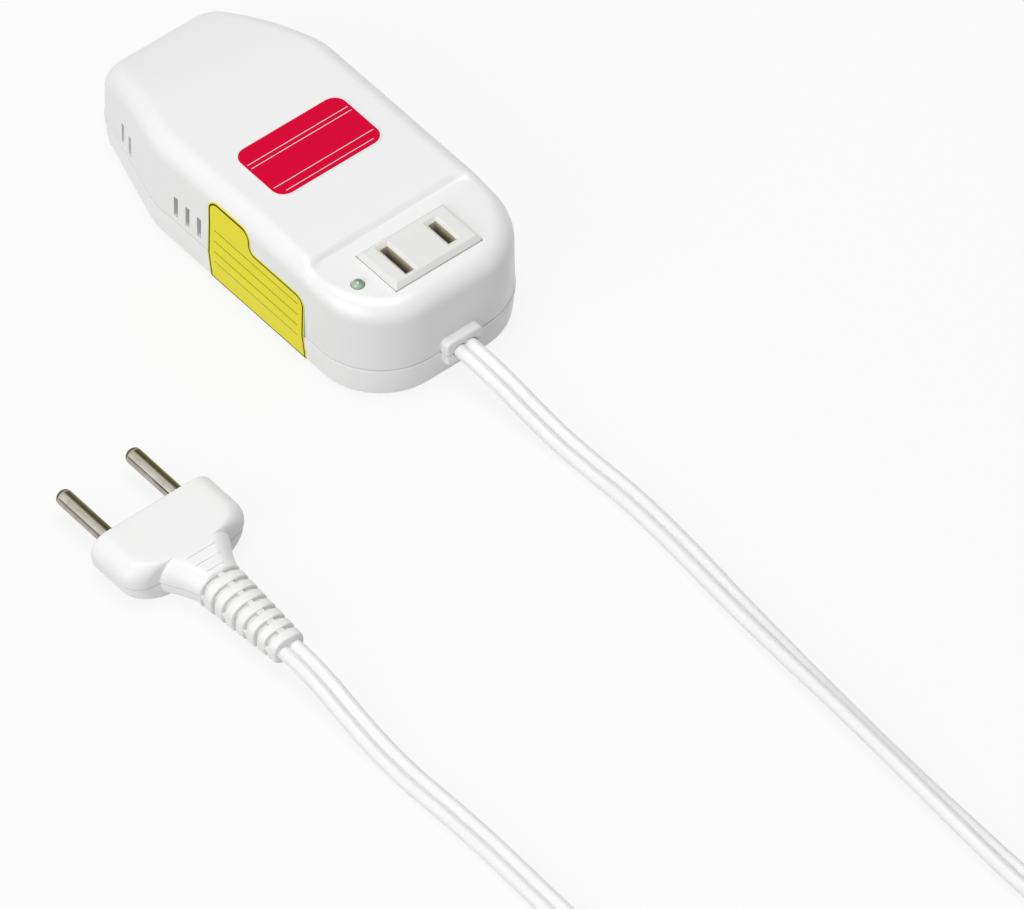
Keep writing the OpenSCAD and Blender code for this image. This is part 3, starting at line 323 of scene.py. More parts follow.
finishes = {
    "shell": plastic("shellWhite", (0.865, 0.868, 0.866), (0.26, 0.34), drift=(0.845, 0.848, 0.846),
                     grain=3200.0, bump=0.05, soft=0.08, edgeShine=0.25, coat=0.08, coatRough=0.2),
    "insert": plastic("insertWhite", (0.79, 0.788, 0.772), (0.32, 0.42), drift=(0.77, 0.767, 0.748),
                      bump=0.06, edgeShine=0.3, crevice=0.25, hollow=(0.55, 0.5, 0.42)),
    "lead": plastic("leadWhite", (0.86, 0.861, 0.859), (0.34, 0.44), drift=(0.842, 0.842, 0.84),
                    driftScale=60.0, bump=0.05, soft=0.1, coat=0.03, coatRough=0.35),
    "plug": plastic("plugWhite", (0.858, 0.858, 0.855), (0.4, 0.5), drift=(0.842, 0.842, 0.838),
                    driftScale=60.0, bump=0.05, edgeShine=0.2, crevice=0.7, hollow=(0.5, 0.5, 0.49)),
    # painted shade for the floors of the sleeve's grooves
    "grooveShade": plastic("grooveShadeGrey", (0.74, 0.72, 0.69), (0.35, 0.5), drift=(0.68, 0.655, 0.62),
                        crevice=0.3),
    # painted shadow for the plug's seam line
    "seam": plastic("seamShadowGrey", (0.66, 0.66, 0.65), (0.5, 0.6), drift=(0.6, 0.6, 0.59), crevice=0.3),
    "steel": metal("screwSteel", (0.62, 0.62, 0.63), (0.25, 0.4), crevice=0.5, stretch=(400.0, 400.0, 60.0)),
    "brass": metal("contactBrass", (0.78, 0.58, 0.26), (0.2, 0.35), crevice=0.3),
    "labelWhite": plastic("labelStock", (0.84, 0.84, 0.83), (0.3, 0.38), bump=0.03),
    "labelRed": plastic("labelRedInk", (0.69, 0.0005, 0.037), (0.28, 0.36), drift=(0.66, 0.0005, 0.034),
                        ior=1.15, bump=0.03, driftScale=90.0),
    "labelYellow": plastic("labelYellowInk", (0.87, 0.79, 0.038), (0.3, 0.4), drift=(0.85, 0.765, 0.034),
                           ior=1.15, bump=0.03, driftScale=90.0),
    "labelBlack": plastic("labelBlackInk", (0.035, 0.033, 0.03), (0.35, 0.45), ior=1.15, bump=0.03),
}
print("finishes made")


# mesh helpers
def smoothShade(mesh, sharpAt):
    mesh.shade_smooth()
    mesh.set_sharp_from_angle(angle=math.radians(sharpAt))


def editMesh(mesh, change):
    work = bmesh.new()
    work.from_mesh(mesh)
    change(work)
    work.to_mesh(mesh)
    work.free()


def turnOutward(work):
    bmesh.ops.recalc_face_normals(work, faces=work.faces)


def newPiece(name, solid, materials, sharpAt=32, faceMaterials=None, outward=True):
    points, faces = solid
    mesh = bpy.data.meshes.new(name)
    mesh.from_pydata([tuple(p) for p in np.asarray(points, float) * mm], [], faces)
    for material in materials:
        mesh.materials.append(material)
    if faceMaterials is not None:
        mesh.polygons.foreach_set("material_index", faceMaterials)
    if outward:
        editMesh(mesh, turnOutward)
    smoothShade(mesh, sharpAt)
    piece = bpy.data.objects.new(name, mesh)
    scene.collection.objects.link(piece)
    return piece


def loftFaces(rings, count):
    faces = []
    for low in range(0, (rings - 1) * count, count):
        for i in range(count):
            j = (i + 1) % count
            faces.append((low + i, low + j, low + count + j, low + count + i))
    return faces


# closed tube through rings of equal count, with flat ends
def loftSolid(rings):
    count = len(rings[0])
    last = (len(rings) - 1) * count
    ends = [tuple(range(count - 1, -1, -1)), tuple(range(last, last + count))]
    return [p for ring in rings for p in ring], loftFaces(len(rings), count) + ends


def mergeSolids(solids):
    points, faces = [], []
    for solidPoints, solidFaces in solids:
        base = len(points)
        points.extend(solidPoints)
        faces.extend(tuple(base + i for i in face) for face in solidFaces)
    return points, faces


def arcAngles(steps, stop=90, start=0):  # in radians, with both ends
    return [math.radians(start + (stop - start) * i / steps) for i in range(steps + 1)]


def roundedRect(halfW, halfD, radius, steps=6):
    points = []
    for corner, (sx, sy) in enumerate(((1, 1), (-1, 1), (-1, -1), (1, -1))):
        for a in arcAngles(steps, 90 * corner + 90, 90 * corner):
            points.append((sx * (halfW - radius) + radius * math.cos(a),
                           sy * (halfD - radius) + radius * math.sin(a)))
    return points


def circlePoints(radius, count=40):
    turns = [2 * math.pi * i / count for i in range(count)]
    return [(radius * math.cos(a), radius * math.sin(a)) for a in turns]


def upright(outline, x, y, z):  # outline in plan, lifted to height z
    return [(x + p[0], y + p[1], z) for p in outline]


def drum(x, y, levels, count=40):  # round upright solid, as radius and height pairs
    return loftSolid([upright(circlePoints(r, count), x, y, z) for r, z in levels])


def block(low, high):
    (x0, y0, z0), (x1, y1, z1) = low, high
    plan = [(x0, y0), (x1, y0), (x1, y1), (x0, y1)]
    return loftSolid([upright(plan, 0, 0, z) for z in (z0, z1)])


def bothSides(places):
    return [(side * x, y) for x, y in places for side in (-1, 1)]


# boolean steps run on one helper solid each, and the result is kept as a plain mesh
def carve(piece, steps, sharpAt=32):
    helpers = []
    for operation, solid in steps:
        helpers.append(newPiece("helper", solid, []))
        step = piece.modifiers.new(operation, "BOOLEAN")
        step.operation = operation
        step.solver = "EXACT"
        step.object = helpers[-1]
    carved = bpy.data.meshes.new_from_object(piece.evaluated_get(bpy.context.evaluated_depsgraph_get()))
    piece.modifiers.clear()
    spent = [piece.data] + [helper.data for helper in helpers]
    carved.name = piece.name
    piece.data = carved
    for helper in helpers:
        bpy.data.objects.remove(helper)
    for data in spent:
        bpy.data.meshes.remove(data)
    smoothShade(carved, sharpAt)


def addSolid(piece, solid, sharpAt=32):  # joins one more closed solid into the piece's mesh
    def join(work):
        made = [work.verts.new([c * mm for c in p]) for p in solid[0]]
        faces = [work.faces.new([made[i] for i in face]) for face in solid[1]]
        bmesh.ops.recalc_face_normals(work, faces=faces)

    editMesh(piece.data, join)
    smoothShade(piece.data, sharpAt)


def settle(piece, slotName, *replaced):  # every piece here rides on the case's body
    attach(piece, "converter")
    if replaced:
        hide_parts(*replaced)
    return piece


# flat two-core lead, laid along the same route as its solid
lead = {
    "width": 6.2,
    "thick": 3.1,
    "web": 0.8,
    "arc": (-140, 141, 14),
    "steps": 8,
    "length": 0.5,
    "roll": 38.0,
    "rollAt": 150.0,
    "rollSpan": 46.0,
    "sharpAt": 60,
    "route": [
        (0, -43, 8.6), (0, -49, 8.6), (0, -55, 8.5), (0.3, -61, 7.9), (0.8, -68, 6.4), (1.4, -76, 4.2),
        (2, -85, 2.4), (2.6, -95, 1.7), (3, -105, 1.6), (2.7, -116, 1.6), (1.9, -128, 1.6),
        (0.6, -143, 1.6), (-0.6, -160, 1.6), (-1.6, -178, 1.6), (-2.6, -197, 1.6), (-3.4, -217, 1.6),
        (-3.9, -238, 1.6), (-4, -258, 1.6), (-9.4, -278, 1.6), (-24, -292.6, 1.6), (-44, -298, 1.6),
        (-64, -292.6, 1.6), (-78.6, -278, 1.6), (-84, -258, 1.6), (-84.2, -238, 1.6), (-84.3, -218, 1.6),
        (-84.3, -198, 1.6), (-84, -180, 1.6), (-83.6, -164, 1.6), (-83.7, -150, 1.6), (-84.1, -138, 1.6),
        (-83.9, -127, 2), (-83.5, -117, 3.3), (-83.1, -108, 4.9), (-82.9, -101, 5.65), (-82.9, -95.7, 5.75),
    ],
}
coreOut = lead["width"] / 2 - lead["thick"] / 2  # from the lead's middle to that of a core


def smoothLine(points, steps):
    p = np.array(points, float)
    p = np.vstack([2 * p[0] - p[1], p, 2 * p[-1] - p[-2]])
    line = []
    for i in range(1, len(p) - 2):
        a, b, c, d = p[i - 1:i + 3]
        for t in np.arange(steps) / steps:
            line.append(0.5 * (2 * b + (c - a) * t + (2 * a - 5 * b + 4 * c - d) * t ** 2
                               + (3 * b - a - 3 * c + d) * t ** 3))
    line.append(p[-2])
    return np.array(line)


def leadSection(grow=0.0):  # two round cores with a web between them
    r = lead["thick"] / 2 + grow
    web = lead["web"] + grow
    right = [(coreOut + r * math.cos(a), r * math.sin(a)) for a in map(math.radians, range(*lead["arc"]))]
    return right + [(0, web)] + [(-x, z) for x, z in reversed(right)] + [(0, -web)]


def makeLead():
    line = smoothLine(lead["route"], lead["steps"])
    along = np.gradient(line, axis=0)
    along /= np.linalg.norm(along, axis=1)[:, None]
    side = np.cross(along, (0, 0, 1))
    side /= np.linalg.norm(side, axis=1)[:, None]
    run = np.concatenate([[0], np.cumsum(np.linalg.norm(np.diff(line, axis=0), axis=1))])
    roll = np.radians(lead["roll"]) * np.exp(-((run - lead["rollAt"]) / lead["rollSpan"]) ** 2)
    line[:, 2] += coreOut * np.sin(roll)  # a rolled stretch stands on one core
    section = leadSection()
    rings = []
    for centre, t, s, turn in zip(line, along, side, roll):
        up = np.cross(s, t)
        across = math.cos(turn) * s + math.sin(turn) * up
        above = math.cos(turn) * up - math.sin(turn) * s
        rings.append([centre + x * across + z * above for x, z in section])
    piece = newPiece("flatLead", loftSolid(rings), [finishes["lead"]], sharpAt=lead["sharpAt"])
    settle(piece, "lead_white", "cord")
    return piece, line * mm


flatLead, leadPath = makeLead()
print("lead laid:", len(leadPath), "rings")

# plug: head and neck, measured back from the face
plug = {
    "place": (-82.9, -48.2, 5.75),
    "halfW": 16.5,
    "halfH": 5.75,
    "headL": 15.4,
    "rearR": 5.2,
    "rearTurn": 86,
    "rearWide": 3.2,
    "rearTall": 0.8,
    "faceR": 1.2,
    "cornerR": 4.6,
    "cornerShare": 0.8,
    "lowR": (7.0, 5.4),
    "lowShare": 0.6,
    "arcSteps": 14,
    "flatSteps": 6,
    "faceSteps": 6,
    "headSteps": 6,
    "rearSteps": 20,
    "creaseSteps": 10,
    "neckSteps": 22,
    "seam": 0.3,
    "seamStep": 0.3,
    "seamRoom": (0.32, 0.3),
    "seamLip": ((0.12, 0.1), (0.0, 0.28)),
    "seamFoot": ((0.26, 0.0), (0.0, 0.28)),
    "slopeFrom": 10.5,
    "slopeDrop": 1.13,
    "crease": 0.5,
    "creaseAt": 0.22,
    "creaseRun": ((0.1, 1.1), (0.2, 0.4)),
    "neckL": 24.0,
    "neckW": (5.6, 9.4),
    "neckR": (4.4, 4.7),
    "neckEase": 1.4,
    "sharpAt": 38,
}


def plugHalf(lip, halfW, end, wideR, tallR):  # upper or lower half of the section
    half = lip + [(halfW - wideR + wideR * math.cos(a), end - tallR + tallR * math.sin(a))
                  for a in arcAngles(plug["arcSteps"])]
    half += [(x, end) for x in np.linspace(halfW - wideR, 0, plug["flatSteps"])[1:-1]]
    return half + [(0, end)] + [(-x, z) for x, z in reversed(half)]


def plugSection(halfW, halfH, wideR, tallR):  # outline across the plug, with the moulding seam on both sides
    seam, (roomAbove, roomBelow) = plug["seam"], plug["seamRoom"]
    inW = halfW - plug["seamStep"]
    lowX = min(plug["lowR"][0], halfW * plug["lowShare"])
    lowZ = min(plug["lowR"][1], halfH + seam - roomBelow)
    lip = [(halfW - dx, seam + dz) for dx, dz in plug["seamLip"]]
    foot = [(inW - dx, seam - dz) for dx, dz in plug["seamFoot"]]
    bottom = plugHalf(foot, inW, -halfH, lowX, -lowZ)
    return plugHalf(lip, halfW, halfH, wideR, min(tallR, halfH - seam - roomAbove)) + bottom[::-1]


def plugRing(distance, section):
    x, y, z = plug["place"]
    return [(x + p[0], y - distance, z + p[1]) for p in section]


def plugTop(distance):  # head and neck share one gently falling top
    into = min(1.0, max(0.0, (distance - plug["slopeFrom"]) / (plug["neckL"] - plug["slopeFrom"])))
    return plug["halfH"] - plug["slopeDrop"] * math.sin(math.pi / 2 * into) ** 2


def plugStations():  # distance, half width, half height, corner's width and height
    corner, soft = plug["cornerR"], plug["crease"]
    stations = []
    for a in arcAngles(plug["faceSteps"]):  # rounded edge of the face
        d, inset = (plug["faceR"] * (1 - turn) for turn in (math.cos(a), math.sin(a)))
        r = corner - plug["cornerShare"] * inset
        stations.append((d, plug["halfW"] - inset, plug["halfH"] - inset, r, r))
    straight = plug["headL"] - plug["rearR"]
    for d in np.linspace(plug["faceR"], straight, plug["headSteps"])[1:]:
        stations.append((d, plug["halfW"], plugTop(d), corner, corner))
    for a in arcAngles(plug["rearSteps"], plug["rearTurn"])[1:]:  # rounded rear of the head
        turned = 1 - math.cos(a)
        d = straight + plug["rearR"] * math.sin(a)
        stations.append((d, plug["halfW"] - plug["rearR"] * turned, plugTop(d),
                         corner + plug["rearWide"] * turned, corner + plug["rearTall"] * turned))
    rear, headW, _, wideR, tallR = stations[-1]
    (endW, neckW), (endR, neckR) = plug["neckW"], plug["neckR"]
    inner = [(rear + d, neckW + soft + out) for d, out in plug["creaseRun"]]
    for a in arcAngles(plug["creaseSteps"]):  # hollow corner between head and neck
        inner.append((rear + plug["creaseAt"] + soft * (1 - math.cos(a)), neckW + soft * (1 - math.sin(a))))
    for d, w in inner:
        share = (w - neckW) / (headW - neckW)
        stations.append((d, w, plugTop(d), neckR + (wideR - neckR) * share, neckR + (tallR - neckR) * share))
    start = stations[-1][0]
    for d in np.linspace(start, plug["neckL"], plug["neckSteps"])[1:]:
        ease = (plug["neckL"] - d) / (plug["neckL"] - start)
        r = endR + (neckR - endR) * ease
        stations.append((d, endW + (neckW - endW) * ease ** plug["neckEase"], plugTop(d), r, r))
    return stations


def makePlug():
    stations = plugStations()
    rings = [plugRing(d, plugSection(*sizes)) for d, *sizes in stations]
    # painted shadow: the faces in the moulding seam take a darker grey
    count = len(rings[0])
    left = count // 2 - 1
    inSeam = {left, left + 1, count - 2, count - 1}
    tones = [int(i in inSeam) for _ in rings[1:] for i in range(count)] + [0, 0]
    piece = newPiece("plugHead", loftSolid(rings), [finishes["plug"], finishes["seam"]],
                     sharpAt=plug["sharpAt"], faceMaterials=tones)
    pocket = blockSolid(bridge["fit"], ((-bridge["past"], 0.0), (bridge["length"] + bridge["fit"], 0.0)))
    carve(piece, [("DIFFERENCE", pocket)], sharpAt=plug["sharpAt"])
    for line in grip["lines"]:
        addSolid(piece, gripLine(*line), sharpAt=plug["sharpAt"])
    return settle(piece, "lead_white", "plug_body")


# grip lines: thin raised bars across the neck, each with a round dot at its right end
grip = {
    "lines": [(17.3, -3.65, 4.05), (19.85, -3.1, 3.35), (22.45, -2.2, 2.3)],
    "wide": 0.23,
    "lift": 0.3,
    "sunk": 0.06,
    "root": 0.5,
    "dotR": 0.36,
    "dotIn": 0.3,
    "dotWide": 0.13,
    "dotLift": 0.05,
    "dotRun": (0.7, 0.6),
    "probe": 0.3,
    "barSteps": 12,
    "dotSteps": 8,
    "roundSteps": 7,
}


def gripLine(distance, left, right):
    x, y, z = plug["place"]
    probe = grip["probe"]
    slope = (plugTop(distance + probe) - plugTop(distance - probe)) / (2 * probe)
    barEnd, dotStart = (right - run for run in grip["dotRun"])
    bar, dotRun = np.linspace(left, barEnd, grip["barSteps"]), np.linspace(dotStart, right, grip["dotSteps"])
    rings = []
    for place in np.concatenate([bar, dotRun]):
        dot = max(0.0, 1 - ((place - right + grip["dotIn"]) / grip["dotR"]) ** 2)
        wide = grip["wide"] + grip["dotWide"] * math.sqrt(dot)
        lift = grip["lift"] + grip["dotLift"] * dot
        section = [(wide * math.cos(a), grip["sunk"], lift * math.sin(a))
                   for a in arcAngles(grip["roundSteps"], 180)]
        section += [(-wide, grip["root"], 0.0), (wide, grip["root"], 0.0)]
        rings.append([(x + place, y - distance - dy, z + plugTop(distance) + slope * dy - sunk + up)
                      for dy, sunk, up in section])
    return loftSolid(rings)


# ribbed sleeve: each groove leaves a bridge above and below, every other one at the sides too
sleeve = {
    "halfW": (5.6, 4.1),
    "halfH": (4.6, 3.4),
    "length": 23.5,
    "points": 144,
    "power": 2 / 2.7,
    "grooves": 7,
    "lastGap": 0.12,
    "firstAt": 0.05,
    "share": 0.5,
    "depth": 0.95,
    "profile": ((0, 0), (0.14, 0.05), (0.25, 0.2), (0.32, 1)),
    "bridge": 0.95,
    "bridgeCut": 0.25,
    "flankHalf": 0.55,
    "flankRise": 0.4,
    "end": ((0.7, 0.0), (0.3, -0.1), (0.08, -0.3), (0.0, -0.6)),
    "endCut": 0.7,
}


def sleeveStops():  # distance, groove share and groove number
    end = sleeve["length"]
    pitch = end / (sleeve["grooves"] + sleeve["lastGap"])
    wide = sleeve["share"] * pitch
    profile = list(sleeve["profile"])
    profile += [(wide - offset, share) for offset, share in reversed(profile)]
    stops = [(i * pitch + sleeve["firstAt"] + offset, share, i)
             for i in range(sleeve["grooves"]) for offset, share in profile]
    return stops + [(end - offset, share, -1) for offset, share in sleeve["end"]]


def sleeveCut(px, pz, share, number):
    if number < 0:
        return -share * sleeve["endCut"]
    cut = sleeve["depth"] * share
    if abs(px) < sleeve["bridge"]:
        return cut * sleeve["bridgeCut"]
    flank = number % 2 == 0 and abs(pz - plug["seam"] * sleeve["flankRise"]) < sleeve["flankHalf"]
    return 0.0 if flank else cut


def makeSleeve():
    stops, count, power = sleeveStops(), sleeve["points"], sleeve["power"]
    rings = []
    for distance, share, number in stops:
        s = distance / sleeve["length"]
        halfW, halfH = ((1 - s) * a + s * b for a, b in (sleeve["halfW"], sleeve["halfH"]))
        section = []
        for k in range(count):
            a = 2 * math.pi * (k + 0.5) / count
            ca, sa = math.cos(a), math.sin(a)
            px = halfW * math.copysign(abs(ca) ** power, ca)
            pz = halfH * math.copysign(abs(sa) ** power, sa)
            left = 1 - sleeveCut(px, pz, share, number) / math.hypot(px, pz)
            section.append((px * left, pz * left))
        rings.append(plugRing(plug["neckL"] + distance, section))
    # painted shade: the floors of the deep grooves take a darker grey
    tones = []
    for k in range(len(stops) - 1):
        shadeMask = stops[k][1] == 1 and stops[k + 1][1] == 1
        out = [abs(p[0] - plug["place"][0]) >= sleeve["bridge"] for p in rings[k]]
        tones += [int(shadeMask and out[i] and out[(i + 1) % count]) for i in range(count)]
    piece = newPiece("plugSleeve", loftSolid(rings), [finishes["plug"], finishes["grooveShade"]],
                     sharpAt=plug["sharpAt"], faceMaterials=tones + [0, 0])
    return settle(piece, "lead_white")


# round pins with domed tips; painted reflection: the plating's colour carries long bands of the room, and
# each tip a dark cap with a bright ring
pins = {
    "radius": 2.0,
    "length": 18.5,
    "spacing": 19.0,
    "root": 8.0,
    "rootR": 1.5,
    "collar": ((0.01, 0.12), (0.12, 0.12), (0.2, 0.0)),
    "dome": 1.75,
    "domeTurn": 88,
    "domePower": 1.1,
    "domeSteps": 12,
    "straightSteps": 10,
    "points": 64,
    "sharpAt": 50,
    "leastR": 0.05,
    "facing": 119.0,
    "rough": (0.12, 0.22),
    "stretch": (260.0, 7.0, 260.0),
    "dull": (0.5, 0.47, 0.4, 1),
    "bump": (0.08, 0.01),
    "reflectionBands": [
        (-180, (0.16, 0.15, 0.12)), (-100, (0.2, 0.19, 0.16)), (-80, (0.3, 0.285, 0.25)),
        (-58, (0.52, 0.5, 0.45)), (-36, (0.4, 0.38, 0.335)), (-30, (0.05, 0.044, 0.032)),
        (-24, (0.74, 0.715, 0.66)), (0, (0.6, 0.57, 0.51)), (16, (0.5, 0.47, 0.41)),
        (26, (0.13, 0.115, 0.075)), (40, (0.055, 0.046, 0.028)), (52, (0.16, 0.145, 0.06)),
        (68, (0.24, 0.22, 0.085)), (82, (0.36, 0.33, 0.16)), (110, (0.2, 0.19, 0.15)),
        (180, (0.16, 0.15, 0.12)),
    ],
    "tipL": 2.2,
    "tip": [
        (0.0, (0.5, 0.47, 0.41, 0.0)), (0.12, (0.12, 0.105, 0.07, 0.3)), (0.2, (0.7, 0.66, 0.52, 0.4)),
        (0.28, (0.6, 0.56, 0.42, 0.5)), (0.42, (0.05, 0.045, 0.03, 0.92)), (1.0, (0.09, 0.08, 0.055, 1.0)),
    ],
}


def pinFinish(name, centreX):
    material, tree, sockets = newMaterial(name)
    place = tree.place()
    local = tree.vector("SUBTRACT", place, (centreX * mm, 0, plug["place"][2] * mm))
    a = math.radians(pins["facing"])
    reach = [tree.vector("DOT_PRODUCT", local, axis, "Value")
             for axis in ((math.sin(a), 0, -math.cos(a)), (math.cos(a), 0, math.sin(a)))]
    # painted reflection: colour bands around the pin stand in for the room's reflection
    paintedReflection = tree.ramp(tree.span(tree.math("ARCTAN2", *reach), -math.pi, math.pi),
                       [((degrees + 180) / 360, opaque(color)) for degrees, color in pins["reflectionBands"]])
    along = tree.vector("DOT_PRODUCT", place, (0, 1, 0), "Value")
    end = plug["place"][1] + pins["length"]
    # painted reflection at the tip: a dark cap with a bright highlight ring
    tip = tree.ramp(tree.span(along, (end - pins["tipL"]) * mm, end * mm), pins["tip"])
    color = tree.mixColor(tip.outputs[1], paintedReflection.outputs[0], tip.outputs[0])
    body = tree.group("drawn", {
        "Base": color, "Dull": tree.mixColor(1.0, color, pins["dull"], "MULTIPLY"),
        "Stretch": pins["stretch"], "Rough Low": pins["rough"][0], "Rough High": pins["rough"][1]})
    dress(tree, sockets, body, body.outputs["Color"], *pins["bump"])
    tree.feed(sockets, {"Metallic": 1.0})
    return material


def makePin(side, name, node):
    x, y, z = plug["place"]
    x += side * pins["spacing"] / 2
    r = pins["radius"]
    domeAt = pins["length"] - pins["dome"]
    profile = [(-pins["root"], pins["rootR"]), (0.0, pins["rootR"])]
    profile += [(d, r - inset) for d, inset in pins["collar"]]
    profile += [(d, r) for d in np.linspace(1, domeAt, pins["straightSteps"])]
    for a in arcAngles(pins["domeSteps"], pins["domeTurn"])[1:]:
        drawnIn = (1 - math.cos(a)) ** pins["domePower"]
        profile.append((domeAt + pins["dome"] * math.sin(a), r * (1 - drawnIn)))
    rings = []
    for d, radius in profile:
        circle = circlePoints(max(radius, pins["leastR"]), pins["points"])
        rings.append([(x + px, y + d, z + pz) for px, pz in circle])
    piece = newPiece(name, loftSolid(rings), [pinFinish(name + "Nickel", x)], sharpAt=pins["sharpAt"])
    return settle(piece, "pin_nickel", node)


# hard block in the plug's face that carries the pins
bridge = {
    "halfW": 13.0,
    "halfH": 3.5,
    "length": 9.0,
    "radius": 0.8,
    "fit": 0.05,
    "past": 1.0,
    "edge": ((0.0, 0.3), (0.09, 0.09), (0.3, 0.0)),
}


def blockSolid(grow, levels):  # rounded block along the plug, as distance and inset pairs
    rings = []
    for d, inset in levels:
        sizes = [bridge[key] + (grow - inset) for key in ("halfW", "halfH", "radius")]
        rings.append(plugRing(d, roundedRect(*sizes)))
    return loftSolid(rings)


def makeBridge():
    piece = newPiece("plugBridge", blockSolid(0.0, bridge["edge"] + ((bridge["length"], 0.0),)),
                     [finishes["insert"]], sharpAt=plug["sharpAt"])
    holes = []
    for side in (-1, 1):
        circle = circlePoints(pins["rootR"] + bridge["fit"])
        hole = [(side * pins["spacing"] / 2 + px, pz) for px, pz in circle]
        ends = (-bridge["past"], bridge["length"] - bridge["past"])
        holes.append(("DIFFERENCE", loftSolid([plugRing(d, hole) for d in ends])))
    carve(piece, holes, sharpAt=plug["sharpAt"])
    return settle(piece, "insert_white", "pin_bridge")


plugHead = makePlug()
plugSleeve = makeSleeve()
leftPin = makePin(-1, "leftPin", "plug_pin_left")
rightPin = makePin(1, "rightPin", "plug_pin_right")
plugBridge = makeBridge()
print("plug made")

# case: the outline and heights that both shells share
case = {
    "halfW": 25.0,
    "frontY": -52.0,
    "farY": 54.0,
    "taperY": 23.0,
    "frontR": 17.0,
    "farHalf": 15.5,
    "farR": 7.6,
    "taperR": 20.0,
    "frontTurn": (-90, 0.1, 3),
    "taperSteps": 9,
    "flankSteps": 14,
    "farSteps": 20,
    "sideRuns": ((-34.4, -28.4, 0.5), (-28.4, -25.8, 0.07), (-25.8, -17, 0.6), (-16.5, 18, 3.1)),
    "parting": 8.6,
    "plateau": 28.6,
    "deck": 26.9,
    "wall": 2.0,
    "wallLean": 0.4,
    "split": 0.13,
    "ledge": 0.2,
    "ledgeBridge": 9.0,
    "shoulder": 4.8,
    "shoulderTurn": (90, -0.1, -5),
    "innerTurn": (0, 20, 40, 60, 75, 90),
    "deckEdge": 5.0,
    "deckSide": 2.6,
    "deckBlend": 14.0,
    "stepY": -27.9,
    "stepRun": 1.8,
    "creaseSoft": 0.25,
    "stepSpread": (1.6, 6.0),
    "spreadBack": 0.6,
    "spreadSoft": 0.5,
    "rim": (2.4, 1.6, 0.8),
    "outlineAt": 0.87,
    "lateRun": 15.0,
    "lateShare": 0.4,
    "crownDrop": 8.5,
    "upperEdge": ((0.0, 0.36), (0.03, 0.2)),
    "upperEdgeIn": 0.12,
    "grooveIn": 0.93,
    "grooveUp": 1.35,
    "tongueIn": 1.08,
    "tongueUp": 1.2,
    "lowerEdge": ((0.11, 0.34), (0.06, 0.6)),
    "lowerEdgeIn": 0.36,
    "lowerInner": ((4.3, 2.0), (3.2, 3.5)),
    "lowerLean": 0.7,
    "bottomR": 1.8,
    "bottomTurn": (90, -0.1, -7.5),
}
taperLean = math.atan((case["halfW"] - case["farHalf"]) / (case["farY"] - case["taperY"]))


def stepShare(y, spread=0.0):  # spread draws the step out, as it is where it runs into the shoulders
    run = case["stepRun"] + spread
    into = np.asarray(y, float) - case["stepY"] + case["spreadBack"] * spread
    soft = case["creaseSoft"] + case["spreadSoft"] * spread
    step = np.sin(np.clip(into / run, 0, 1) * math.pi / 2)
    step = np.where(np.abs(into) < soft, math.pi / 2 / run * (into + soft) ** 2 / (4 * soft), step)
    late = np.sin(np.clip(into / case["lateRun"], 0, 1) * math.pi / 2)
    return step + case["lateShare"] * (late - step)


def topZ(y, spread=0.0):
    y = np.asarray(y, float)
    back = np.maximum(0, y - case["taperY"])
    reach = case["farY"] - case["taperY"]
    radius = (reach ** 2 + case["crownDrop"] ** 2) / (2 * case["crownDrop"])
    rise = case["plateau"] - case["deck"]
    return case["deck"] + rise * stepShare(y, spread) - radius + np.sqrt(radius ** 2 - back ** 2)


def spreadAt(c):  # from the top's rim, where c is 0, out to the wall
    rim, wall = case["stepSpread"]
    return rim + (wall - rim) * c


def edgeR(y):  # grows with the step's height, so the side's outline stays straight past it
    y = np.asarray(y, float)
    side = case["deckSide"]
    deck = side + (case["deckEdge"] - side) * np.clip((case["stepY"] - y) / case["deckBlend"], 0, 1)
    return deck + (case["shoulder"] - side) * stepShare(y, spreadAt(case["outlineAt"]))


def outlineStations():  # right half of the plan, from front wall to far wall: x, y and the outward normal
    w, r, lean = case["halfW"], case["frontR"], taperLean
    bend = case["taperR"] * math.tan(lean / 2)
    farLine = case["farHalf"] * math.cos(lean) + case["farY"] * math.sin(lean)
    farX = (farLine - case["farR"] - (case["farY"] - case["farR"]) * math.sin(lean)) / math.cos(lean)

    def farPoint(a):
        return farX + case["farR"] * math.cos(a), case["farY"] - case["farR"] * (1 - math.sin(a))

    stations = []
    for a in np.radians(np.arange(*case["frontTurn"])):
        stations.append((w - r + r * math.cos(a), case["frontY"] + r + r * math.sin(a), a))
    for y in np.concatenate([np.arange(*run) for run in case["sideRuns"]]):
        stations.append((w, y, 0.0))
    for a in np.linspace(0, lean, case["taperSteps"]):
        stations.append((w - case["taperR"] * (1 - math.cos(a)),
                         case["taperY"] - bend + case["taperR"] * math.sin(a), a))
    start, stop = np.array(stations[-1][:2]), np.array(farPoint(lean))
    for s in np.linspace(0, 1, case["flankSteps"])[1:-1]:
        stations.append((*(start + s * (stop - start)), lean))
    stations += [(*farPoint(a), a) for a in np.linspace(lean, math.pi / 2, case["farSteps"])]
    return np.array(stations)


outline = outlineStations()


def caseRing(inset, edge, base, top, drop, spread=0.0):
    x0, y0, a = outline.T
    r = edgeR(y0)
    move = inset + edge * r
    x, y = x0 - move * np.cos(a), y0 - move * np.sin(a)
    z = base + top * topZ(y, spread) + drop * r
    right = np.column_stack([x, y, z])
    return np.vstack([right, (right * (-1, 1, 1))[::-1]])


def levelRings(*levels):  # inset and height pairs
    return [caseRing(inset, 0, z, 0, 0) for inset, z in levels]


def shoulderRing(degrees, t):
    c, s = math.cos(math.radians(degrees)), math.sin(math.radians(degrees))
    return caseRing(case["wallLean"] + t * c, 1 - c, -t * s, 1, s - 1, spreadAt(c))


def cupSolid(rings):  # closed cup whose two ends are strips across the case
    count = len(rings[0])
    half = count // 2
    faces = loftFaces(len(rings), count)
    for base in (0, (len(rings) - 1) * count):
        for i in range(half - 1):
            faces.append((base + i, base + i + 1, base + count - 2 - i, base + count - 1 - i))
    return np.vstack(rings), faces


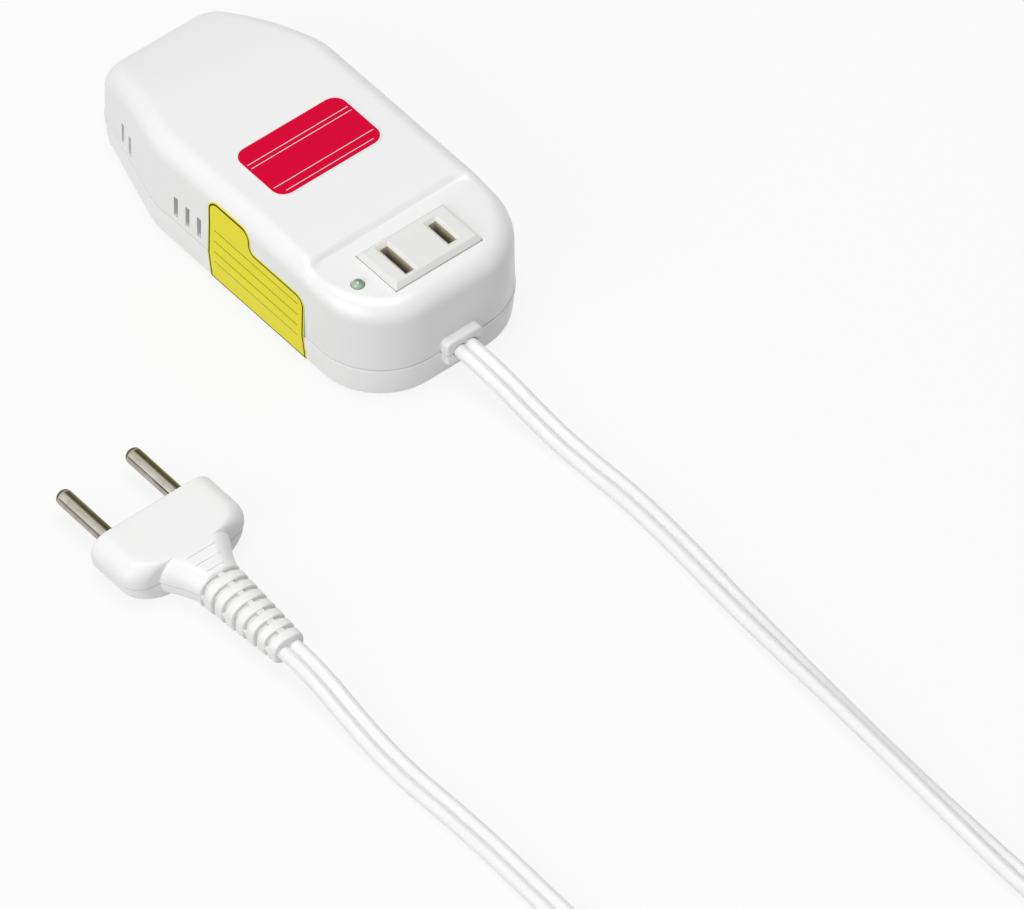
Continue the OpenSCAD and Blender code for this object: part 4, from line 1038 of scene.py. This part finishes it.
# openings, collar and posts of the case
fittings = {
    "insertY": -38.6,
    "window": (12.12, 6.92),
    "windowZ": (-3.7, 2.3),
    "lamp": (-17.0, -38.4),
    "lampHoleR": 1.62,
    "lampHoleZ": (-4, 2),
    "ventY": (6.7, 10.7, 14.7),
    "taperVentY": (35.5, 39.5),
    "ventZ": (10.5, 16.3),
    "ventW": 1.4,
    "ventReach": 3,
    "leadZ": 8.6,
    "leadFit": 0.2,
    "leadRun": (-57, -48.5),
    "collarW": 5.0,
    "collarTrim": 0.08,
    "collarH": 3.5,
    "collarOut": 2.0,
    "collarIn": 1.2,
    "collarR": 1.3,
    "collarEase": 0.5,
    "collarSteps": 8,
    "collarSoft": 0.6,
    "collarTurn": (20, 40, 60, 80, 90),
    "posts": ((17, -43), (10.5, 44.5)),
    "postR": 2.5,
    "postFrom": 0.2,
    "postBite": 0.3,
    "postPoints": 24,
    "bossR": 3.2,
    "bossFrom": 1.0,
    "screwHole": ((2.5, -1), (2.5, 0.0), (2.25, 0.28), (2.25, 2.4), (1.2, 2.4), (1.2, 12)),
    "standoffs": ((18, -20.5), (11.2, 36.5)),
    "standoff": ((2.75, 1.5), (2.75, 6.0)),
}


def ventSolids():
    half, reach = fittings["ventW"] / 2, fittings["ventReach"]
    plan = [(-reach, -half), (reach, -half), (reach, half), (-reach, half)]
    c, s = math.cos(taperLean), math.sin(taperLean)
    solids = []
    for side in (-1, 1):
        plans = [[(side * case["halfW"] + u, y + v) for u, v in plan] for y in fittings["ventY"]]
        for y in fittings["taperVentY"]:
            x = case["halfW"] - (y - case["taperY"]) * math.tan(taperLean)
            plans.append([(side * (x + u * c - v * s), y + u * s + v * c) for u, v in plan])
        solids += [loftSolid([upright(outer, 0, 0, z) for z in fittings["ventZ"]]) for outer in plans]
    return solids


def leadOpening():
    section = leadSection(fittings["leadFit"])
    return loftSolid([[(px, y, fittings["leadZ"] + pz) for px, pz in section] for y in fittings["leadRun"]])


def collarSolid(z0, z1, halfW, roundTop):  # half a collar: round outer corners, soft front edge
    soft, front = fittings["collarSoft"], case["frontY"] - fittings["collarOut"]
    levels = [(case["frontY"] + fittings["collarIn"], 0.0), (front + soft, 0.0)]
    levels += [(front + soft * (1 - math.sin(a)), soft * (1 - math.cos(a)))
               for a in map(math.radians, fittings["collarTurn"])]
    rightArc, leftArc = (arcAngles(fittings["collarSteps"], start + 90, start) for start in (0, 90))
    rings = []
    for y, inset in levels:
        r = fittings["collarR"] - fittings["collarEase"] * inset
        w, high = halfW - inset, z1 - z0 - inset
        ring = [(-w, z0), (w, z0)]
        for out, angles in ((w - r, rightArc), (r - w, leftArc)):
            ring += [(out + r * math.cos(a), z0 + high - r + r * math.sin(a)) for a in angles]
        if not roundTop:
            ring = [(px, z0 + z1 - pz) for px, pz in reversed(ring)]
        rings.append([(px, y, pz) for px, pz in ring])
    return loftSolid(rings)


def makeUpperShell():
    z, deck, wall, split = case["parting"], case["deck"], case["wall"], case["split"]
    rim, ledge = case["rim"], case["ledge"]
    rings = [caseRing(case["wallLean"] + e, 1, 0, 1, 0, spreadAt(0) * (1 - e / rim[0])) for e in rim]
    rings += [shoulderRing(a, 0) for a in np.arange(*case["shoulderTurn"])]
    rings += levelRings(*((ledge + inset, z + up) for inset, up in case["upperEdge"]))
    rings += levelRings((ledge + case["upperEdgeIn"], z + split), (case["grooveIn"], z + split),
                        (case["grooveIn"], z + case["grooveUp"]), (wall, z + case["grooveUp"]))
    rings += [shoulderRing(a, wall) for a in case["innerTurn"]]
    piece = newPiece("upperShell", cupSolid(rings), [finishes["shell"]])
    (w, d), y = fittings["window"], fittings["insertY"]
    low, high = (deck + level for level in fittings["windowZ"])
    lampHole = [(fittings["lampHoleR"], deck + level) for level in fittings["lampHoleZ"]]
    openings = [block((-w, y - d, low), (w, y + d, high)), drum(*fittings["lamp"], lampHole)]
    openings += ventSolids() + [leadOpening()]
    carve(piece, [("UNION", collarSolid(z + split, z + fittings["collarH"], fittings["collarW"], True)),
                  ("DIFFERENCE", mergeSolids(openings))])
    for px, py in bothSides(fittings["posts"]):
        levels = (z + fittings["postFrom"], float(topZ(py)) - wall + fittings["postBite"])
        post = [(fittings["postR"], level) for level in levels]
        addSolid(piece, drum(px, py, post, fittings["postPoints"]))
    return settle(piece, "shell_white", "upper_shell")


def makeLowerShell():
    z, wall, split = case["parting"], case["wall"], case["split"]
    lean, r = case["lowerLean"], case["bottomR"]
    tongue, tongueTop = case["tongueIn"], z + case["tongueUp"]
    rings = levelRings(*case["lowerInner"], (wall, tongueTop), (tongue, tongueTop), (tongue, z - split),
                       (case["lowerEdgeIn"], z - split))
    rings += levelRings(*((inset, z - down) for inset, down in case["lowerEdge"]))
    rings += levelRings(*((lean + r * (1 - math.sin(a)), r * (1 - math.cos(a)))
                          for a in np.radians(np.arange(*case["bottomTurn"]))))
    piece = newPiece("lowerShell", cupSolid(rings), [finishes["shell"]])
    posts = bothSides(fittings["posts"])
    collarW = fittings["collarW"] - fittings["collarTrim"]
    collar = collarSolid(z - fittings["collarH"], z - split, collarW, False)
    boss = [(fittings["bossR"], level) for level in (fittings["bossFrom"], z)]
    holes = [drum(px, py, fittings["screwHole"]) for px, py in posts]
    carve(piece, [("UNION", collar), ("UNION", mergeSolids([drum(px, py, boss) for px, py in posts])),
                  ("DIFFERENCE", mergeSolids(holes + [leadOpening()]))])
    for px, py in bothSides(fittings["standoffs"]):
        addSolid(piece, drum(px, py, fittings["standoff"], fittings["postPoints"]))
    return settle(piece, "shell_white", "lower_shell")


upperShell = makeUpperShell()
lowerShell = makeLowerShell()
print("shells made:", len(upperShell.data.polygons), len(lowerShell.data.polygons))

# outlet insert with bevelled edges and chamfered slot mouths
outlet = {
    "halfW": 12.0,
    "halfD": 6.8,
    "bevel": (0.9, 1.1),
    "bevelAt": (0.5, 0.86, 0.95),
    "foot": 0.25,
    "footSoft": (0.05, 0.04, 0.08),
    "faceSoft": ((0.08, 0.07, 0.45, 0.01), (0.22, 0.2, 0.4, 0.0)),
    "rise": 1.4,
    "flange": (-4.5, -2.5),
    "flangeOut": 1.2,
    "cornerR": (0.4, 0.5, 0.45),
    "slots": ((-6.35, 9.0), (6.35, 7.0)),
    "slotW": 2.2,
    "slotR": (0.12, 0.4),
    "slotBelow": 1.1,
    "slotSteps": 3,
    "mouth": ((0, 0.72), (0.05, 0.66), (0.75, 0.05), (1.0, -0.2)),
    "slotFit": 0.03,
    "shadeBelow": 0.6,
    "shadeUnder": 0.01,
    "wells": (-4.4, 8.9),
    "wellOuter": (2.8, 5.1, 0.3),
    "wellInner": (1.75, 4.1, 0.2),
    "sharpAt": 24,
    "slotShadeLook": {"Base": (0.8, 0.73, 0.55, 1), "Drift": (0.74, 0.67, 0.5, 1), "Drift Scale": 300.0,
                 "Rough Low": 0.4, "Rough High": 0.5},
    "slotShadeColor": (0.06, 0.05, 0.035, 1),
    "slotShadeDepths": (5.5, 1.0),
    "slotBump": (0.08, 0.02),
}


def slotFinish():  # inside of the slots, painted shade: warm, and darker with depth
    material, tree, sockets = newMaterial("slotShade")
    body = tree.group("moulded", outlet["slotShadeLook"])
    height = tree.add("ShaderNodeSeparateXYZ", {0: tree.place()}).outputs[2]
    low, high = ((case["deck"] + outlet["rise"] - depth) * mm for depth in outlet["slotShadeDepths"])
    # painted shade: darker towards the bottom of the slots
    color = tree.mixColor(tree.span(height, low, high, 1.0, 0.0), body.outputs["Color"], outlet["slotShadeColor"])
    dress(tree, sockets, body, color, *outlet["slotBump"])
    return material


def makeOutlet():
    y, deck, sharpAt = fittings["insertY"], case["deck"], outlet["sharpAt"]
    foot, face = deck + outlet["foot"], deck + outlet["rise"]
    low, high = (deck + level for level in outlet["flange"])
    (bx, by), (sx, sy, sz) = outlet["bevel"], outlet["footSoft"]
    flangeR, footR, bevelR = outlet["cornerR"]
    out = outlet["flangeOut"]
    levels = [(-out, -out, flangeR, low), (-out, -out, flangeR, high), (0, 0, footR, high),
              (0, 0, footR, foot), (sx, sy, footR, foot + sz)]
    levels += [(bx * s, by * s, bevelR, foot + (face - foot) * s) for s in outlet["bevelAt"]]
    levels += [(bx + dx, by + dy, r, face - dz) for dx, dy, r, dz in outlet["faceSoft"]]
    solid = loftSolid([upright(roundedRect(outlet["halfW"] - inX, outlet["halfD"] - inY, r), 0, y, z)
                       for inX, inY, r, z in levels])
    piece = newPiece("outletInsert", solid, [finishes["insert"], slotFinish()], sharpAt=sharpAt)
    half, (slotR, slotGrow), corner = outlet["slotW"] / 2, outlet["slotR"], outlet["slotSteps"]
    steps = [(0, low - outlet["slotBelow"])] + [(g, face - drop) for g, drop in outlet["mouth"]]
    slots = []
    for x, length in outlet["slots"]:
        mouth = [(roundedRect(half + g, length / 2 + g, slotR + slotGrow * g, corner), z) for g, z in steps]
        slots.append(loftSolid([upright(ring, x, y, z) for ring, z in mouth]))
    carve(piece, [("DIFFERENCE", mergeSolids(slots))], sharpAt=sharpAt)
    top, bottom = deck + outlet["wells"][0], outlet["wells"][1]
    outer, inner = (roundedRect(*outlet[key], corner) for key in ("wellOuter", "wellInner"))
    walls = ((inner, top), (inner, bottom), (outer, bottom), (outer, top))
    for x, _ in outlet["slots"]:  # wells that hold the contacts
        rings = [upright(ring, x, y, z) for ring, z in walls]
        addSolid(piece, (np.vstack(rings), loftFaces(len(walls), len(outer))), sharpAt=sharpAt)
    # painted shade: faces deep in the slots and under the flange take the slot shade material
    fit = outlet["slotFit"]
    for polygon in piece.data.polygons:
        px, py, pz = (c / mm for c in polygon.center)
        inSlot = any(abs(px - x) < half + fit and abs(py - y) < length / 2 + fit
                     for x, length in outlet["slots"])
        if inSlot and pz < face - outlet["shadeBelow"] or pz < low - outlet["shadeUnder"]:
            polygon.material_index = 1
    settle(piece, "insert_white", "socket_insert")


makeOutlet()

# pilot lamp: a small green dome, held by a flange under the deck
lamp = {
    "radius": 1.5,
    "flange": 1.85,
    "flangeH": 1.0,
    "base": -3.3,
    "rise": 1.2,
    "domeTurn": 89,
    "domeSteps": 16,
    "points": 64,
    "sharpAt": 40,
    "shadeGreen": (0.035, 0.085, 0.04, 1),
    "pale": (0.33, 0.48, 0.32, 1),
    "paleDrift": 0.85,
    "driftScale": 500.0,
    "rough": (0.06, 0.12),
    "coatRough": 0.03,
    "bump": (0.03, 0.01),
    "shadeSide": (0.76, 0.25, 0.6),
    "shadeSpan": (0.1, 1.35),
}


def lampFinish():  # painted shade: deep green painted on the far side, pale green where the light gathers
    material, tree, sockets = newMaterial("lampGreen")
    body = tree.group("moulded", {
        "Base": lamp["pale"], "Drift": shade(lamp["pale"], lamp["paleDrift"]),
        "Drift Scale": lamp["driftScale"], "Rough Low": lamp["rough"][0], "Rough High": lamp["rough"][1]})
    centre = (*fittings["lamp"], case["deck"] + lamp["rise"] - lamp["radius"])
    local = tree.vector("SUBTRACT", tree.place(), [c * mm for c in centre])
    # painted shade: the far side of the dome turns deep green
    along = tree.vector("DOT_PRODUCT", local, lamp["shadeSide"], "Value")
    shadeMask = tree.span(along, *(reach * mm for reach in lamp["shadeSpan"]))
    dress(tree, sockets, body, tree.mixColor(shadeMask, body.outputs["Color"], lamp["shadeGreen"]), *lamp["bump"])
    tree.feed(sockets, {"Coat Weight": 1.0, "Coat Roughness": lamp["coatRough"]})
    return material


def makeLamp():
    r, top, base = lamp["radius"], case["deck"] + lamp["rise"], case["deck"] + lamp["base"]
    neck = base + lamp["flangeH"]
    levels = [(lamp["flange"], base), (lamp["flange"], neck), (r, neck), (r, top - r)]
    levels += [(r * math.cos(a), top - r + r * math.sin(a))
               for a in arcAngles(lamp["domeSteps"], lamp["domeTurn"])[1:]]
    solid = drum(*fittings["lamp"], levels, lamp["points"])
    piece = newPiece("pilotLamp", solid, [lampFinish()], sharpAt=lamp["sharpAt"])
    settle(piece, "lamp_green", "lamp")


makeLamp()
print("outlet and lamp made")


# labels: flat sheets cut to shape, printed by face
sheetLook = {"sharpAt": 50, "sunk": 0.03, "merge": 1e-6, "leastR": 0.05, "arcSteps": 10}


def filletLoop(corners, inset=0.0):  # corners run anticlockwise, as x, y and radius
    count = len(corners)
    loop = []
    for i, (x, y, r) in enumerate(corners):
        before = np.array(corners[i - 1][:2], float)
        here = np.array((x, y), float)
        after = np.array(corners[(i + 1) % count][:2], float)
        u = (here - before) / np.linalg.norm(here - before)
        v = (after - here) / np.linalg.norm(after - here)
        left = np.array((-u[1], u[0]))
        left2 = np.array((-v[1], v[0]))
        turn = u[0] * v[1] - u[1] * v[0]  # above 0 at a convex corner
        corner = here + inset * (left + left2)
        radius = max(r - inset if turn > 0 else r + inset, sheetLook["leastR"])
        base = -left if turn > 0 else left
        centre = corner - u * radius - base * radius
        for a in arcAngles(sheetLook["arcSteps"], math.copysign(90, turn)):
            c, s = math.cos(a), math.sin(a)
            loop.append(centre + radius * np.array((c * base[0] - s * base[1], s * base[0] + c * base[1])))
    return np.array(loop)


def inLoop(point, loop):
    x, y = point
    a, b = loop, np.roll(loop, -1, axis=0)
    crossing = (a[:, 1] > y) != (b[:, 1] > y)
    reach = a[:, 0] + (y - a[:, 1]) / np.where(crossing, b[:, 1] - a[:, 1], 1) * (b[:, 0] - a[:, 0])
    return bool(np.count_nonzero(crossing & (x < reach)) % 2)


def inAny(point, loops):
    return any(inLoop(point, loop) for loop in loops)


def refine(loop, step):  # splits long straight edges
    fine = []
    for a, b in zip(loop, np.roll(loop, -1, axis=0)):
        count = max(1, math.ceil(np.linalg.norm(b - a) / step))
        fine += [a + (b - a) * i / count for i in range(count)]
    return np.array(fine)


def printedSheet(name, loops, label, place, inks, pickInk):  # the first loop is the outline
    gridStep, lift, thickness = label["grid"], label["lift"], label["thick"]
    loops = [refine(loop, gridStep) for loop in loops]
    edge = loops[0]
    flat = [tuple(p) for loop in loops for p in loop]
    edges, base = [], 0
    for loop in loops:
        edges += [(base + i, base + (i + 1) % len(loop)) for i in range(len(loop))]
        base += len(loop)
    low, high = edge.min(0), edge.max(0)
    for gx in np.arange(low[0] + gridStep / 2, high[0], gridStep):
        for gy in np.arange(low[1] + gridStep / 2, high[1], gridStep):
            if inLoop((gx, gy), edge):
                flat.append((gx, gy))
    made = delaunay_2d_cdt([Vector(p) for p in flat], edges, [], 0, sheetLook["merge"])
    sheet, triangles = np.array([tuple(p) for p in made[0]]), made[2]
    faces, tones = [], []
    for triangle in triangles:
        centre = sheet[list(triangle)].mean(0)
        if inLoop(centre, edge):
            faces.append(tuple(triangle))
            tones.append(pickInk(centre))
    top, rim = ([place(*p, lift + thickness) for p in flatPoints] for flatPoints in (sheet, edge))
    foot = [place(*p, lift - sheetLook["sunk"]) for p in edge]
    n, m = len(top), len(edge)
    for i in range(m):
        j = (i + 1) % m
        faces.append((n + i, n + j, n + m + j, n + m + i))
        tones.append(0)
    piece = newPiece(name, (top + rim + foot, faces), [finishes[ink] for ink in inks],
                     sharpAt=sheetLook["sharpAt"], faceMaterials=tones, outward=False)
    middle = Vector(np.mean(top, axis=0) * mm)
    outside = Vector(np.subtract(place(*sheet.mean(0), 1.0), place(*sheet.mean(0), 0.0)))

    def printUp(work):
        turnOutward(work)
        printed = [face for face in work.faces if len(face.verts) == 3]
        face = min(printed, key=lambda f: (f.calc_center_median() - middle).length)
        if face.normal.dot(outside) < 0:
            bmesh.ops.reverse_faces(work, faces=work.faces)

    editMesh(piece.data, printUp)
    smoothShade(piece.data, sheetLook["sharpAt"])
    return piece


def rectLoop(x0, y0, x1, y1):
    return np.array([(x0, y0), (x1, y0), (x1, y1), (x0, y1)], float)


topLabel = {
    "halfW": 15.0,
    "halfD": 8.8,
    "radius": 3.5,
    "centreY": -1.0,
    "border": 0.35,
    "rules": ((3.9, 14.0, 0.08), (2.6, 14.0, 0.08), (-5.0, 13.9, 0.08), (-7.2, 12.2, 0.08)),
    "grid": 3.0,
    "lift": 0.0,
    "thick": 0.12,
}


def makeTopLabel():
    w, d, r, cy = topLabel["halfW"], topLabel["halfD"], topLabel["radius"], topLabel["centreY"]
    corners = [(-w, cy - d, r), (w, cy - d, r), (w, cy + d, r), (-w, cy + d, r)]
    ink = filletLoop(corners, topLabel["border"])
    rules = [rectLoop(-half, cy + y - t, half, cy + y + t) for y, half, t in topLabel["rules"]]

    def pickInk(point):
        return int(inLoop(point, ink) and not inAny(point, rules))

    def place(px, py, lift):
        return (px, py, float(topZ(py)) + lift)

    piece = printedSheet("topLabel", [filletLoop(corners), ink] + rules, topLabel, place,
                         ("labelWhite", "labelRed"), pickInk)
    settle(piece, "label_red", "top_label")


sideLabel = {
    "rear": 3.4,
    "front": -29.6,
    "tall": 14.5,
    "lowZ": 20.1,
    "tallZ": 25.5,
    "foot": 0.9,
    "radius": 3.0,
    "footR": 0.5,
    "bendR": 1.6,
    "lineIn": 0.3,
    "lineW": 0.45,
    "ruleIn": 2.2,
    "ruleHalf": 0.09,
    "rules": (3.0, 6.2, 9.4, 12.6),
    "grid": 0.8,
    "lift": 0.03,
    "thick": 0.1,
    "lowerIn": 0.06,
    "lowerNormal": (1.0, -0.1),
    "upperNormal": (1.0, 0.04),
}


def wallPoint(y, z, lift):  # left wall at y and z, set out by lift
    w, r, parting = case["halfW"], case["bottomR"], case["parting"]
    if z < r:  # the sheet is rolled a little way under the bottom edge
        c = 1 - z / r
        x = w - case["lowerLean"] - r * (1 - math.sqrt(1 - c * c))
        normal = (math.sqrt(1 - c * c), -c)
    elif z < parting:
        inset = sideLabel["lowerIn"]
        x = w - inset - (case["lowerLean"] - inset) * ((parting - z) / (parting - r))
        normal = sideLabel["lowerNormal"]
    else:
        r = float(edgeR(y))
        bend = float(topZ(y)) - r
        if z <= bend:
            up, ledge = z - parting, case["ledge"]
            x = w - ledge - (case["wallLean"] - ledge) * up / (bend - parting)
            x += ledge * max(0.0, 1 - up / case["ledgeBridge"])  # the sheet bridges the ledge
            normal = sideLabel["upperNormal"]
        else:
            s = min(1.0, (z - bend) / r)
            x = w - case["wallLean"] - r + r * math.sqrt(1 - s * s)
            normal = (math.sqrt(1 - s * s), s)
    size = math.hypot(*normal)
    return (-x - lift * normal[0] / size, y, z + lift * normal[1] / size)


def makeSideLabel():
    front, rear, foot, low, tall = (sideLabel[key] for key in ("front", "rear", "foot", "lowZ", "tallZ"))
    r, footR = sideLabel["radius"], sideLabel["footR"]
    bend = rear - sideLabel["tall"]
    corners = [(front, foot, footR), (rear, foot, footR), (rear, tall, r), (bend, tall, r),
               (bend, low, sideLabel["bendR"]), (front, low, r)]
    outer = filletLoop(corners, sideLabel["lineIn"])
    inner = filletLoop(corners, sideLabel["lineIn"] + sideLabel["lineW"])
    inset, half = sideLabel["ruleIn"], sideLabel["ruleHalf"]
    rules = [rectLoop(front + inset, low - drop - half, rear - inset, low - drop + half)
             for drop in sideLabel["rules"]]

    def pickInk(point):
        return int(inAny(point, rules) or inLoop(point, outer) and not inLoop(point, inner))

    piece = printedSheet("sideLabel", [filletLoop(corners), outer, inner] + rules, sideLabel, wallPoint,
                         ("labelYellow", "labelBlack"), pickInk)
    settle(piece, "label_yellow", "side_label")


makeTopLabel()
makeSideLabel()
print("labels made")

# inner parts keep their solids and get their own finishes
innerLooks = {
    "circuit_board": ("boardTan", (0.48, 0.28, 0.07), (0.4, 0.55), {"crevice": 0.3, "driftScale": 80.0}),
    "triac": ("packageBlack", (0.02, 0.02, 0.022), (0.45, 0.6), {"grain": 5000.0}),
    "control_chip": ("chipBlack", (0.018, 0.018, 0.02), (0.45, 0.6), {"grain": 5000.0}),
    "bridge_rectifier": ("rectifierBlack", (0.022, 0.022, 0.024), (0.4, 0.55), {"grain": 5000.0}),
    "triac_pad": ("padGrey", (0.62, 0.62, 0.56), (0.6, 0.75), {}),
    "thermal_fuse": ("thermalFuseTan", (0.52, 0.36, 0.15), (0.3, 0.45), {}),
    "choke_core": ("coreGrey", (0.1, 0.105, 0.115), (0.6, 0.8), {"grain": 4000.0, "bump": 0.3}),
    "film_capacitor": ("filmYellow", (0.6, 0.38, 0.03), (0.35, 0.5), {"edgeShine": 0.3}),
    "snubber_capacitor": ("snubberBrown", (0.5, 0.09, 0.02), (0.25, 0.4), {"coat": 0.4}),
    "smoothing_capacitor": ("sleeveBlue", (0.012, 0.015, 0.05), (0.25, 0.4), {"coat": 0.3}),
    "small_resistors": ("resistorBlue", (0.26, 0.41, 0.6), (0.35, 0.5), {"driftScale": 400.0}),
    "power_resistor": ("resistorGrey", (0.32, 0.34, 0.29), (0.6, 0.8), {"bump": 0.3}),
    "varistor": ("varistorBlue", (0.015, 0.05, 0.32), (0.3, 0.45), {"coat": 0.4}),
    "fuse": ("fuseTube", (0.6, 0.68, 0.68), (0.08, 0.16), {"coat": 0.5}),
    "preset_base": ("presetBlue", (0.035, 0.1, 0.38), (0.45, 0.6), {}),
    "preset_rotor": ("presetWhite", (0.78, 0.78, 0.75), (0.4, 0.55), {"crevice": 0.4}),
    "cord_clamp": ("clampGrey", (0.68, 0.68, 0.66), (0.45, 0.6), {"edgeShine": 0.3}),
    "output_wires": ("wireRed", (0.5, 0.012, 0.012), (0.3, 0.42), {"driftScale": 200.0}),
    "input_wires": ("wireBlack", (0.03, 0.03, 0.03), (0.3, 0.42), {"driftScale": 200.0}),
    "lamp_wires": ("wireGrey", (0.07, 0.07, 0.07), (0.35, 0.45), {"driftScale": 200.0}),
}
metalLooks = {
    "heat_sink": ("sinkAluminium", (0.62, 0.63, 0.65), (0.3, 0.45), {"stretch": (60.0, 60.0, 900.0)}),
    "choke_winding": ("windingCopper", (0.55, 0.2, 0.07), (0.2, 0.35),
                      {"stretch": (1500.0, 1500.0, 80.0), "bump": 0.5, "crevice": 0.4}),
}
sharedLooks = {
    "steel": ("case_screws", "board_screws", "clamp_screws", "triac_screw", "triac_nut"),
    "brass": ("wide_slot_contact", "narrow_slot_contact", "fuse_clips"),
}
for make, looks in ((plastic, innerLooks), (metal, metalLooks)):
    for nodeName, (label, color, rough, extra) in looks.items():
        finishes[nodeName] = make(label, color, rough, **extra)
for finish, nodeNames in sharedLooks.items():
    finishes.update({nodeName: finishes[finish] for nodeName in nodeNames})
for nodeName, node in nodes.items():
    if nodeName in finishes:
        node.data.materials.clear()
        node.data.materials.append(finishes[nodeName])
print("inner parts finished")

# floor and light: a plain white sweep that keeps a soft shadow
studio = {
    "floorHalf": 6000.0,
    "floorZ": -0.15,
    "floorColor": (0.73, 0.73, 0.73, 1),
    "floorWhite": 0.87,
    "worldLight": 0.2,
    "target": (-20, -40, 15),
    "lamps": [
        ("leftLight", (-1600, -300, 900), 1500, 15.8),
        ("topLight", (0, 100, 2000), 1500, 25.0),
        ("overLight", (-200, -700, 1900), 1500, 1.2),
    ],
}


def whiteToCamera(tree):  # camera, mirror and glass rays see plain white
    path = tree.add("ShaderNodeLightPath").outputs
    seen = tree.math("MAXIMUM", path["Is Camera Ray"], path["Is Glossy Ray"])
    return tree.math("MAXIMUM", seen, path["Is Transmission Ray"])


def mixSurface(tree, outputKind, share, first, second):
    mix = tree.add("ShaderNodeMixShader", {0: share, 1: first.outputs[0], 2: second.outputs[0]})
    tree.feed(tree.add(outputKind).inputs, {"Surface": mix.outputs[0]})


def makeFloor():
    half, z = studio["floorHalf"], studio["floorZ"]
    corners = [(-half, -half, z), (half, -half, z), (half, half, z), (-half, half, z)]
    material = bpy.data.materials.new("floorPaper")
    tree = emptyTree(material)
    paper = tree.add("ShaderNodeBsdfDiffuse", {"Color": studio["floorColor"]})
    glow = tree.add("ShaderNodeEmission", {"Color": white, "Strength": 1.0})
    share = tree.math("MULTIPLY", whiteToCamera(tree), studio["floorWhite"])
    mixSurface(tree, "ShaderNodeOutputMaterial", share, paper, glow)
    floor = newPiece("floor", (corners, [(0, 1, 2, 3)]), [material], outward=False)


def makeWorld():
    scene.world = bpy.data.worlds.new("studioWhite")
    tree = emptyTree(scene.world)
    light, glow = (tree.add("ShaderNodeBackground", {"Color": white, "Strength": strength})
                   for strength in (studio["worldLight"], 1.0))
    mixSurface(tree, "ShaderNodeOutputWorld", whiteToCamera(tree), light, glow)


def makeLamps():
    target = Vector(studio["target"]) * mm
    for name, place, size, power in studio["lamps"]:
        data = bpy.data.lights.new(name, "AREA")
        data.shape = "DISK"
        data.size = size * mm
        data.energy = power
        holder = bpy.data.objects.new(name, data)
        holder.location = Vector(place) * mm
        holder.rotation_euler = (target - holder.location).to_track_quat("-Z", "Y").to_euler()
        scene.collection.objects.link(holder)


makeFloor()
makeWorld()
makeLamps()
print("studio lit")
